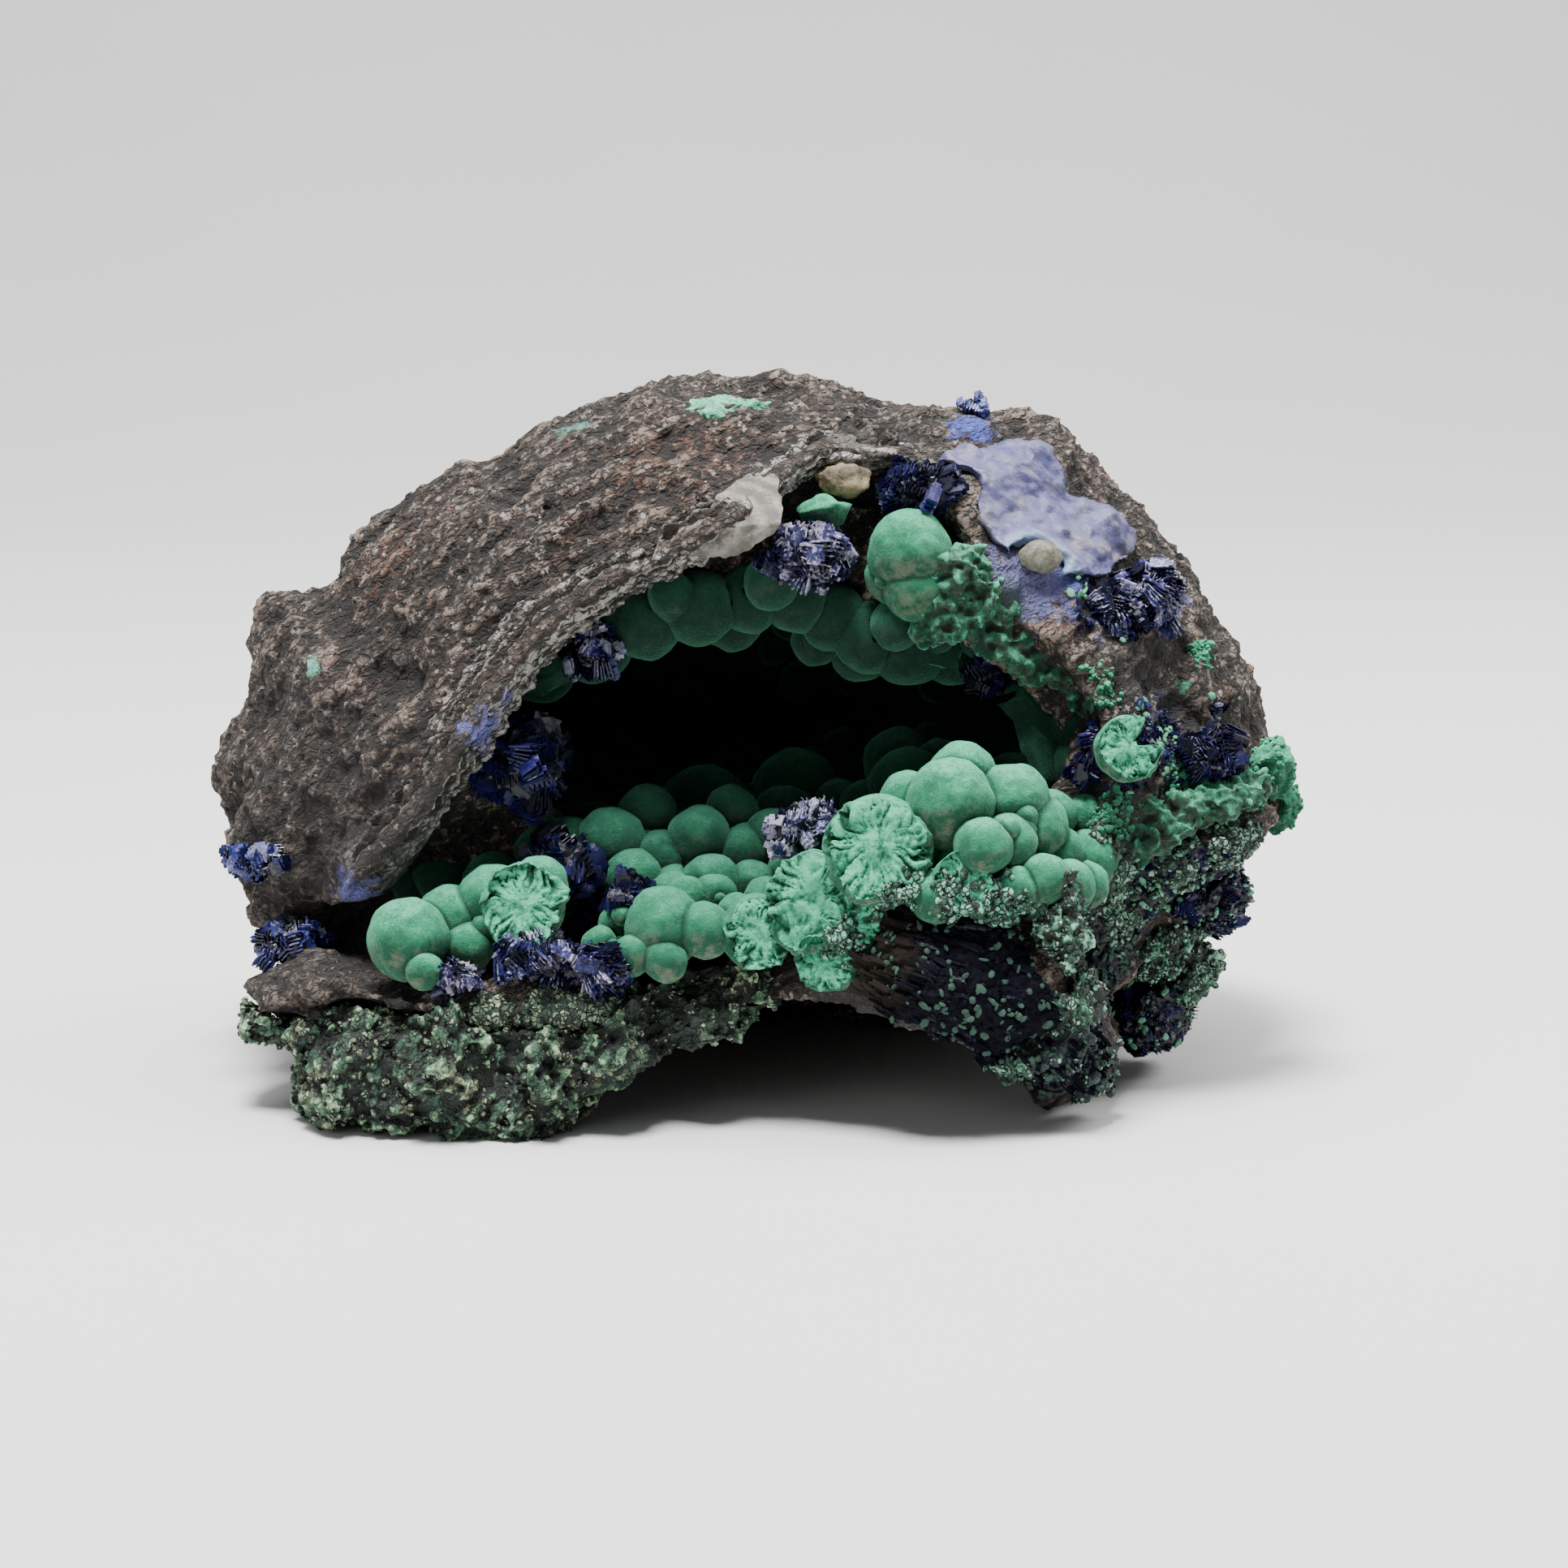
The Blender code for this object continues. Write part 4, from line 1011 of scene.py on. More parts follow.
class Finish(Enum):
    """The finishes of the pieces, each made once."""

    GOSSAN = Gossan()
    MALACHITE = Malachite()
    # Painted shade: darker towards the back of the hollow.
    MALACHITE_HOLLOW = Malachite("malachite_hollow", back_from=-29.0, back_to=-15.0)
    RIND = Malachite("malachite_rind", mint=(0.035, 0.27, 0.14), dusting=0.2)
    DUSTY = Malachite("malachite_dusty", mint=(0.013, 0.14, 0.07), frost_and_highlight=(0.06, 0.28, 0.165), dusting=1.0)
    CELADON = Malachite(
        "malachite_celadon", body=(0.03, 0.12, 0.07), mint=(0.075, 0.3, 0.18), frost_and_highlight=(0.2, 0.5, 0.36),
        dusting=0.1,
    )
    WEATHERED = Malachite(
        "malachite_weathered", body=(0.005, 0.034, 0.018), mint=(0.022, 0.13, 0.068), frost_and_highlight=(0.1, 0.42, 0.27),
        low=(0.006, 0.005, 0.004), dusting=0.8, decay=0.8,
    )
    PALE_LAYER = RingedStone(
        "pale_layer", (-2.6, -24.3, 50.2), (0.07, 0.063, 0.052), (0.23, 0.21, 0.18), 1.9, ring_share=0.07,
        slot="gossan",
    )
    AZURITE = Azurite(royal=(0.004, 0.005, 0.07), dusted=0.06, matt=0.36)
    AZURITE_DUSTED = Azurite(
        "azurite_dusted", royal=(0.006, 0.008, 0.09), lavender=(0.06, 0.062, 0.25), chalk=(0.42, 0.4, 0.44),
        dusted=0.36,
    )
    AZURITE_CHALKY = Azurite(
        "azurite_chalky", royal=(0.008, 0.01, 0.08), lavender=(0.085, 0.085, 0.26), chalk=(0.45, 0.42, 0.47),
        dusted=0.47,
    )
    # Darker than the other azurites: partly its own colour, partly painted shade on its downward-facing
    # faces.
    AZURITE_SLAB = Azurite(
        "azurite_slab", night=(0.001, 0.001, 0.004), royal=(0.0025, 0.003, 0.014),
        lavender=(0.007, 0.008, 0.016), chalk=(0.05, 0.056, 0.055), speck=(0.034, 0.066, 0.05),
        earth=(0.013, 0.01, 0.007), dusted=0.24, matt=0.8,
    )
    AZURITE_STAIN = Azurite(
        "azurite_bright", royal=(0.02, 0.032, 0.24), lavender=(0.08, 0.1, 0.4), dusted=0.36
    )
    # Its night region is a painted shadow under the left lip.
    DRUSE = Druse(shadow=(0.004, 0.012, 0.007), night=(((-7.0, -26.0, 7.0), 8.0),))
    # Its night regions are painted shadow low on the right foot.
    DRUSE_GREEN = Druse(
        "green_druse", leaf=(0.006, 0.035, 0.02), sage=(0.06, 0.26, 0.145), pale=(0.3, 0.58, 0.4), earth=0.1,
        night=(((27.0, -29.0, 4.0), 7.0), ((30.0, -24.0, 10.0), 4.0)),
    )
    CRUMBS = Druse(
        "mint_crumbs", leaf=(0.01, 0.1, 0.05), sage=(0.05, 0.3, 0.16), pale=(0.25, 0.6, 0.42), earth=0.0
    )
    PALE_SEAM = PaleSeam()
    NODULE = RingedStone(
        "grey_nodule", (24.7, -17.6, 46.6), (0.075, 0.07, 0.045), (0.2, 0.19, 0.15), ring_share=0.04,
        border=2.2,
    )
    TAN = RingedStone("tan_crystal", (8.0, -14.0, 54.0), (0.055, 0.04, 0.018), (0.19, 0.15, 0.075), 1.5)
    FLOOR = StudioPaper()

    def material(self) -> bpy.types.Material:
        """The finish's material, made when it is first asked for."""
        if self.name not in MATERIALS:
            MATERIALS[self.name] = self.value.make()
        return MATERIALS[self.name]


MATERIALS: dict[str, bpy.types.Material] = {}


# ---------------------------------------------------------------------------------------------------
# Pieces

Ball = tuple[float, float, float, float]  # x, y, z and radius in the layout
Broken = tuple[Ball, Place]  # a ball and the way that its broken face looks

ROOF_BALLS: tuple[Ball, ...] = (
    (-3.5, -17.5, 42.0, 3.3), (0.8, -16.5, 42.6, 2.9), (-8, -17, 40.6, 3.2), (-12.6, -13.5, 38.2, 3.3),
    (4.8, -16.5, 42.4, 2.8), (8, -15.5, 40.8, 2.9), (11, -16, 39.2, 3.1), (14.4, -15.5, 38.4, 3.4),
    (10.4, -13, 37.4, 2.5), (18.4, -14, 37.8, 3.0), (22.6, -12, 37, 3.3), (-17.5, -10, 35.8, 3.2),
    (-5.6, -19, 43.2, 2.2), (2.6, -19.2, 44.4, 2.4), (13.2, -18.4, 40.6, 2.2), (-10.4, -16.6, 41.2, 2.4),
    (16.6, -16.8, 39.6, 2.0), (6.6, -13, 38.6, 2.2), (-0.6, -13, 40.2, 2.6), (20.4, -16, 39.0, 1.9),
)
WALL_BALLS: tuple[Ball, ...] = (
    (29, -16, 31.4, 3), (30, -14, 27, 3.2), (27, -13, 35, 3), (-23.5, -8, 31, 3.3), (-25, -9, 26, 3.5),
    (28.4, -17.6, 28.4, 2.2), (26.6, -15.4, 32.8, 2.1),
)
BACK_BALLS: tuple[Ball, ...] = (
    (-3.4, -5, 22.3, 4), (-7.7, -8, 20.6, 2.8), (-4.5, -10, 20.4, 2.8), (-1.2, -10, 20, 2.5),
    (-6, -13, 19.6, 2.9), (4.8, -3, 23.6, 3.8), (3.8, -8, 21.8, 3.1), (14.2, -3, 26, 3.4),
    (14.8, -9.5, 24.8, 3.8), (19.5, -11, 25.2, 3.5), (24, -8, 24.5, 3.4), (-13, -9, 20.8, 2.8),
    (-10.4, -12.4, 20.2, 2.3), (-16.6, -11.4, 20.6, 2.2), (0.6, -12.6, 19.4, 2.0), (8.8, -5.6, 22.6, 2.6),
    (11.2, -8.6, 23.4, 2.4), (8.4, -12.4, 20.8, 2.3), (17.6, -6.6, 26.6, 2.3), (-19.6, -9.4, 22.0, 2.3),
)
FLOOR_BALLS: tuple[Ball, ...] = (
    (-10.7, -20.5, 19.4, 3.4), (-22, -14, 20, 2.6), (-15.8, -16.5, 19.4, 2.8), (2.3, -17.5, 19.6, 2.5),
    (-4.8, -19.5, 17.8, 2.8), (-1.4, -16, 18.6, 2.6), (-21, -19, 18.4, 2.8), (0.4, -21, 17.4, 2.7),
    (6.6, -20.5, 18.4, 3), (-16.5, -21, 17.8, 2.7), (10.8, -18.5, 20.4, 3), (25, -18.5, 22.6, 2.8),
    (-25.5, -17.5, 18.6, 2.6), (29.6, -17.5, 24.4, 2.4), (-7.6, -23.6, 17.4, 2.6), (-3.2, -22.6, 17.8, 1.8),
    (-12.4, -18.0, 20.4, 2.0), (3.6, -14.4, 20.2, 2.1), (-8.6, -16.6, 19.6, 2.2), (-28.2, -16.4, 17.8, 2.0),
)
FRONT_BALLS: tuple[Ball, ...] = (
    (-10.9, -20.4, 22.2, 3.1), (-6.7, -20.9, 21.0, 2.5), (-3.4, -20.7, 22.7, 2.8), (0.3, -20.8, 21.5, 2.4),
    (3.0, -20.1, 22.7, 2.4), (-14.6, -19.6, 21.6, 2.7), (-17.4, -18.8, 21.2, 2.0), (6.2, -21, 21.6, 2.4),
    (-9.0, -23.1, 19.6, 2.6), (-5.4, -23.4, 18.8, 2.1), (-2.4, -23.9, 19.4, 2.6), (1.2, -23.5, 19.2, 2.2),
    (4.2, -22.9, 20.2, 2.0), (-4.3, -26.3, 18.7, 1.9), (-12.2, -22.6, 20.2, 1.5), (-7.9, -17.2, 24.0, 2.6),
    (-0.6, -17.6, 24.4, 2.3), (-6.6, -24.9, 18.4, 1.6), (1.8, -25.6, 18.6, 1.4),
)
LEFT_LIP_BALLS: tuple[Ball, ...] = (
    (-27.3, -30.5, 16, 3.5), (-24, -27.5, 17, 3), (-20.6, -27.5, 18.9, 2.9), (-25.8, -33.2, 13.9, 1.7),
    (-22.6, -29.4, 15.2, 2.3), (-16.6, -29.2, 20.2, 2.6),
)
CENTRE_LIP_BALLS: tuple[Ball, ...] = (
    (-6.2, -29.5, 16.8, 3.5), (-3, -30.6, 16.8, 2.5), (-5.4, -25, 18.2, 2.3), (-2.2, -25.5, 18.7, 2.1),
    (-8.8, -31.8, 14.9, 1.8), (2.6, -26.5, 18.2, 2.4), (-9.6, -28.0, 16.6, 2.2), (-0.2, -28.2, 17.6, 1.9),
    (-11.4, -30.2, 15.8, 1.5), (-6.0, -31.9, 14.6, 2.0),
)
MOUND_BALLS: tuple[Ball, ...] = (
    (17.5, -30.5, 27.4, 3.8), (22.6, -28.5, 27.2, 3.3), (24.4, -28.5, 25, 3.0), (26.2, -27.5, 22.6, 2.6),
    (20, -34, 24.6, 2.5), (25, -33, 21.6, 2.2), (15, -27.5, 23.5, 4.4), (20, -28.5, 21.5, 5),
    (11, -28, 19.5, 4.8), (29.5, -24.5, 21.5, 2.7), (18.6, -27, 29.2, 2.9), (22.2, -31.8, 24.4, 2.5),
    (14.0, -27.2, 27.2, 2.4), (27.4, -29.4, 20.4, 2.2), (22.8, -34.0, 21.0, 1.9), (26.2, -24.6, 25.4, 2.2),
    (29.4, -21.8, 24.6, 2.2), (16.2, -34.0, 20.4, 2.2), (20.8, -32.6, 20.0, 2.4), (27.3, -31.0, 20.6, 2.2),
    (28.8, -28.2, 20.2, 2.0),
)
BROW_BALLS: tuple[Ball, ...] = ((14.4, -19.6, 47.1, 3.5), (14.8, -20.2, 43.9, 2.7), (12.9, -18.4, 44.6, 2.2))
BROW_CRUST_BALLS: tuple[Ball, ...] = (
    (18.8, -20.2, 45.4, 2.6), (16.6, -20.4, 41, 2.3), (20, -19.8, 42.4, 2.5), (22.4, -19.4, 39.4, 2.3),
    (25, -19, 37.6, 2.2), (27.6, -18.5, 36.2, 2.0), (29.8, -18.6, 34.6, 1.9), (18.2, -21.4, 43.4, 1.5),
    (20.8, -20.6, 44.4, 1.6), (22.2, -20.2, 42.0, 1.6), (18.8, -21.2, 41.0, 1.4), (24.0, -20.2, 40.2, 1.3),
    (20.6, -20.8, 39.6, 1.2), (26.6, -19.8, 38.2, 1.2), (28.6, -19.2, 36.8, 1.2), (17.0, -21.6, 46.4, 1.3),
)
RIDGE_BALLS: tuple[Ball, ...] = (
    (31, -22.6, 23.6, 2.2), (33.2, -22, 25.2, 2.2), (33.8, -23.2, 22.6, 1.9), (36, -22.8, 24, 2.0),
    (38.4, -22.2, 24.9, 1.8), (40.8, -21.4, 25.7, 1.8), (43.2, -20, 26.3, 1.8), (34.8, -21.8, 26.0, 1.4),
    (37.2, -21.6, 26.2, 1.3), (39.6, -21.0, 26.8, 1.3), (42.0, -20.2, 27.2, 1.3), (44.6, -18.6, 26.6, 1.4),
)
LEFT_LIP_BROKEN: tuple[Broken, ...] = (((-17.6, -32, 19.2, 3.5), (0.05, -1, 0.2)),)
CENTRE_LIP_BROKEN: tuple[Broken, ...] = (((1.6, -31.6, 16.9, 3.1), (0.05, -1, 0.1)),)
MOUND_BROKEN: tuple[Broken, ...] = (
    ((6.3, -32, 19.6, 4.1), (-0.3, -1, 0.3)), ((11.6, -32.4, 23.9, 4.6), (-0.1, -1, 0.4)),
    ((18.3, -35, 21.9, 2.4), (0.1, -1, 0.1)), ((7.4, -32.8, 14.8, 2.7), (-0.3, -1, -0.1)),
    ((9.2, -33.0, 18.0, 2.6), (-0.1, -1, 0.1)),
)
WALL_BALL_BROKEN: tuple[Broken, ...] = (((32.4, -26.6, 31.4, 2.8), (0.15, -1, 0.45)),)

# The rim of the mouth in the layout, (x, z), from its low left to its peak.
RIM: tuple[tuple[float, float], ...] = (
    (-33.5, 18), (-30, 21.6), (-25.6, 26.5), (-23, 30.6), (-20.5, 34.7), (-17.8, 38.5), (-15, 41.6),
    (-11.4, 44), (-7.4, 46.3), (-3.3, 48.4), (1.4, 51), (4.5, 53.6), (8, 55), (12.5, 54.4), (17, 53),
)


@dataclass
class Piece:
    """One visible piece: its name, its finish, and the solid that it stands for, if any."""

    name: str
    finish: Finish
    node: str = ""

    def make(self) -> bpy.types.Object:
        """Builds the piece's mesh. Each kind of piece has its own."""
        raise NotImplementedError

    def build(self) -> bpy.types.Object:
        """Builds the piece, dresses it and ties it to the frame.

        Returns:
            The piece.
        """
        obj = self.make()
        obj.name = self.name
        obj.data.name = self.name
        obj.data.materials.clear()
        obj.data.materials.append(self.finish.material())
        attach(obj, BODY)
        if self.node:
            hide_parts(self.node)
        obj.data.calc_loop_triangles()
        LOG.info("%s: %d triangles", self.name, len(obj.data.loop_triangles))
        return obj


@dataclass
class HostRock(Piece):
    """The gossan: the solid's form with lumps, drawn-out ridges, pits and grains."""

    coarse: float = 0.75
    voxel: float = 0.4
    triangles: int = 140_000
    calm: float = 0.55
    free_from: float = 0.3
    free_to: float = 1.8
    rim_width: float = 4.0
    rim_calm: float = 0.25
    hollow_middle: Place = (1.0, -4.0, 31.0)
    hollow_reach: Place = (36.0, 24.0, 18.0)
    hollow_front: float = -11.0
    hollow_fade: float = 6.0
    reliefs: tuple[Relief, ...] = (
        Relief(Grain.SWELL, 6.5, 2.3, stretch=2.0, along=LAYER_LIE, group="free", seed=1.0),
        Relief(Grain.RIDGES, 5.5, 0.9, 0.5, 2.2, LAYER_LIE, 3, "free", 8.0),
        Relief(Grain.RIDGES, 2.6, 0.55, 0.45, 3.4, LAYER_LIE, 4, "free", 2.0),
        Relief(Grain.KNOBS, 1.7, -0.55, 0.35, 1.8, LAYER_LIE, 1, "free", 3.0),
        Relief(Grain.CRUMBS, 1.1, 0.75, 0.35, 1.6, LAYER_LIE, 3, "free", 6.0),
        Relief(Grain.KNOBS, 2.6, 0.8, 1.0, 1.4, LAYER_LIE, 0, "free", 4.0, full_at=0.12),
        Relief(Grain.KNOBS, 0.9, -0.4, 0.35, depth=0, group="free", seed=7.0),
    )

    def make(self) -> bpy.types.Object:
        """Builds the rock."""
        rock = copy_of_node("host_rock", "rock")
        remesh(rock, self.coarse)
        relax(rock, 5)
        remesh(rock, self.voxel)
        relax(rock, 4)
        self.weigh_free(rock)
        for relief in self.reliefs:
            relief.press(rock)
        thin(rock, self.triangles)
        rock.vertex_groups.clear()
        keep_off_floor(rock)
        mark_relief(rock)
        self.mark_rim(rock)
        self.mark_hollow(rock)
        shade(rock)
        return rock

    def weigh_free(self, rock: bpy.types.Object) -> None:
        """Weighs the rock's points by how far they are from the minerals on it.

        Args:
            rock: the rock.
        """
        graph = bpy.context.evaluated_depsgraph_get()
        near = np.full(len(rock.data.vertices), self.free_to)
        for node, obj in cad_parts.items():
            if node == "host_rock":
                continue
            tree = BVHTree.FromObject(obj, graph)
            for index, vertex in enumerate(rock.data.vertices):
                found = tree.find_nearest(vertex.co, near[index] * MM)
                if found[3] is not None:
                    near[index] = min(near[index], found[3] / MM)
        free = np.clip((near - self.free_from) / (self.free_to - self.free_from), 0, 1)
        by_rim = np.clip(self.rim_distances(rock) / self.rim_width, self.rim_calm, 1)
        weigh(rock, "free", (self.calm + (1 - self.calm) * free) * by_rim)

    def mark_rim(self, rock: bpy.types.Object) -> None:
        """Stores how near each point is to the mouth's rim, as "rim"."""
        mark(rock, "rim", np.clip(1.1 - self.rim_distances(rock) / self.rim_width, 0, 1))

    def rim_distances(self, rock: bpy.types.Object) -> np.ndarray:
        """How far each point is from the mouth's rim.

        Args:
            rock: the rock.

        Returns:
            The distances in millimetres.
        """
        spots = points_of(rock)
        near = np.full(len(spots), FAR)
        for spot in rim_line(120):
            near = np.minimum(near, np.linalg.norm(spots - spot, axis=1))
        return near

    def mark_hollow(self, rock: bpy.types.Object) -> None:
        """Stores which points are on the walls of the hollow, as "hollow", for the rock's painted shade
        there.

        Args:
            rock: the rock.
        """
        spots = points_of(rock)
        inward = np.array(self.hollow_middle) - spots
        far = np.linalg.norm(inward / np.array(self.hollow_reach), axis=1)
        looks = (inward * normals_of(rock)).sum(1) / np.linalg.norm(inward, axis=1)
        behind = np.clip((spots[:, 1] - self.hollow_front) / self.hollow_fade, 0, 1)
        mark(rock, "hollow", np.clip((1.15 - far) * 6, 0, 1) * np.clip(looks * 6, 0, 1) * behind)


def keep_off_floor(obj: bpy.types.Object) -> None:
    """Moves points that lie below the floor up to it.

    Args:
        obj: the object.
    """
    spots = points_of(obj)
    spots[:, 2] = np.maximum(spots[:, 2], FLOOR_GAP)
    set_points(obj, spots)


def rock_tree() -> BVHTree:
    """The surface of the rock's solid."""
    mesh = bmesh.new()
    mesh.from_mesh(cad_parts["host_rock"].data)
    tree = BVHTree.FromBMesh(mesh)
    mesh.free()
    return tree


def skin_depth(tree: BVHTree, x: float, z: float) -> Optional[float]:
    """The y of the rock's front skin behind a place of the front elevation."""
    found = tree.ray_cast(Vector((x, IN_FRONT, z)) * MM, Vector((0, 1, 0)))[0]
    return None if found is None else found.y / MM


def outward_of(line: np.ndarray) -> np.ndarray:
    """The ways, in the front elevation, that lead from the rim's line out over the rock."""
    along = np.gradient(line[:, [0, 2]], axis=0)
    return np.stack([-along[:, 1], along[:, 0]], 1) / np.linalg.norm(along, axis=1)[:, None]


def rim_line(count: int, outside: Sequence[float] = (0.6, 1.4, 2.2), even: int = 3) -> np.ndarray:
    """The mouth's rim as places on the rock's skin.

    Args:
        count: how many places.
        outside: how far outside the rim the skin is looked for, in millimetres.
        even: how many places on each side a depth is evened out with.

    Returns:
        The places in millimetres, one row each.
    """
    tree = rock_tree()
    flat = np.array([(x - LAYOUT_MIDDLE.x, 0, z) for x, z in RIM])
    runs = np.concatenate([[0], np.cumsum(np.linalg.norm(np.diff(flat, axis=0), axis=1))])
    wanted = np.linspace(0, runs[-1], count)
    line = np.stack([np.interp(wanted, runs, flat[:, i]) for i in range(3)], 1)
    ways = outward_of(line)
    last = RIM_Y
    for spot, way in zip(line, ways):
        depths = [skin_depth(tree, spot[0] + way[0] * reach, spot[2] + way[1] * reach) for reach in outside]
        depths = [depth for depth in depths if depth is not None and depth < 0]
        last = depths[0] if depths else last
        spot[1] = last
    kernel = np.ones(2 * even + 1) / (2 * even + 1)
    line[:, 1] = np.convolve(np.pad(line[:, 1], even, mode="edge"), kernel, "valid")
    return line


@dataclass
class RimPlates(Piece):
    """Thin pale layers of the gossan that stand out along the rim, one behind the other."""

    steps: int = 280
    across: int = 5
    thickness: float = 0.22
    lip: float = 0.5
    step_from: float = 2.6
    hollow_from: float = 7.0
    drawn_in: float = 0.7
    most_forward: float = 1.5
    # Each layer: how far it stands into the mouth, how far back it lies, its width, where it starts and ends.
    layers: tuple[tuple[float, float, float, float, float], ...] = (
        (0.1, -0.75, 1.7, 0.0, 1.0),
        (0.75, 0.35, 2.6, 0.02, 0.98),
        (1.3, 1.25, 3.2, 0.06, 0.9),
        (1.9, 2.2, 3.8, 0.2, 0.74),
    )

    def make(self) -> bpy.types.Object:
        """Builds the plates."""
        line = rim_line(self.steps + 1)
        tree = rock_tree()
        plates = join("rim_plates", [self.plate(number, line, tree) for number in range(len(self.layers))])
        mark_relief(plates, 3)
        shade(plates, 40)
        return plates

    def plate(self, number: int, line: np.ndarray, tree: BVHTree) -> bpy.types.Object:
        """Builds one layer from a grid.

        Args:
            number: which layer.
            line: the rim.
            tree: the rock's surface.

        Returns:
            The layer.
        """
        inset, back, width, start, end = self.layers[number]
        bpy.ops.mesh.primitive_grid_add(x_subdivisions=self.steps, y_subdivisions=self.across, size=1)
        plate = bpy.context.object
        ways = outward_of(line)
        spots = np.empty((len(plate.data.vertices), 3))
        mark(plate, "rim", np.array([1.0 if vertex.co.y < -0.45 else 0.5 for vertex in plate.data.vertices]))
        for index, vertex in enumerate(plate.data.vertices):
            share = start + (vertex.co.x + 0.5) * (end - start)
            step = round(share * self.steps)
            run = share * 60
            ragged = noise.noise(Vector((run * 0.8, number * 7.1, 0)))
            ragged += 0.5 * noise.noise(Vector((run * 2.6, number, 5)))
            ragged += 0.2 * noise.noise(Vector((run * 6, number, 2)))
            fade = min(1.0, (share - start) / 0.05 + 0.05, (end - share) / 0.05 + 0.05)
            reach = (inset + ragged * 0.75) * fade
            wide = (width + ragged * 0.6) * fade
            far = -reach + (vertex.co.y + 0.5) * (reach + wide)
            x = line[step, 0] + ways[step, 0] * far
            z = line[step, 2] + ways[step, 1] * far
            y = line[step, 1] + 0.3 * max(0.0, -far)
            skin = skin_depth(tree, x, z) if far > self.lip else None
            if skin is not None and self.step_from < skin - y < self.hollow_from:
                x -= ways[step, 0] * (far - self.lip) * self.drawn_in
                z -= ways[step, 1] * (far - self.lip) * self.drawn_in
            if far > self.lip and number == 0:
                if skin is not None:
                    y += max(-self.most_forward, min(0.6 + 1.1 * far, skin - 0.2 - y))
                y += 0.5 * max(0.0, vertex.co.y * 2) ** 3
            wave = 0.3 * noise.noise(Vector((run * 0.5, far * 0.4, number)))
            spots[index] = (x, y + back + wave, z)
        set_points(plate, spots)
        relax(plate, 2)
        return modify(plate, "SOLIDIFY", thickness=self.thickness * MM, offset=0)


@dataclass
class PaleTongue(Piece):
    """The widest pale layer of the rim: a thin lobed plate that hangs over the mouth's edge."""

    middle: Place = (-0.7, -24.3, 50.6)
    half: Place = (4.3, 0.4, 2.5)
    turn: float = -0.6
    upright_below: float = 50.2
    slope: float = 0.95
    bend: float = 0.25

    def make(self) -> bpy.types.Object:
        """Builds the plate."""
        bpy.ops.mesh.primitive_uv_sphere_add(segments=96, ring_count=48, radius=1)
        plate = bpy.context.object
        turn = Matrix.Rotation(self.turn, 3, "Y")
        for vertex in plate.data.vertices:
            spot = vertex.co.copy()
            around = Vector((spot.x, 0, spot.z)).normalized()
            lobe = 1 + 0.24 * noise.noise(around * 1.7 + Vector((0, 3, 0))) + 0.1 * noise.noise(around * 5)
            rise = 0.1 * noise.noise(Vector((spot.x * 5, 1, spot.z * 5)))
            thick = self.half[1] * (1 if spot.y > 0 else 0.7)
            spot = turn @ Vector((spot.x * self.half[0] * lobe, spot.y * thick, spot.z * self.half[2] * lobe))
            spot += Vector(self.middle)
            above = max(0.0, spot.z - self.upright_below)
            spot.y += self.slope * above + self.bend * above**2 + rise
            vertex.co = spot * MM
        mark_relief(plate, 4)
        shade(plate)
        return plate


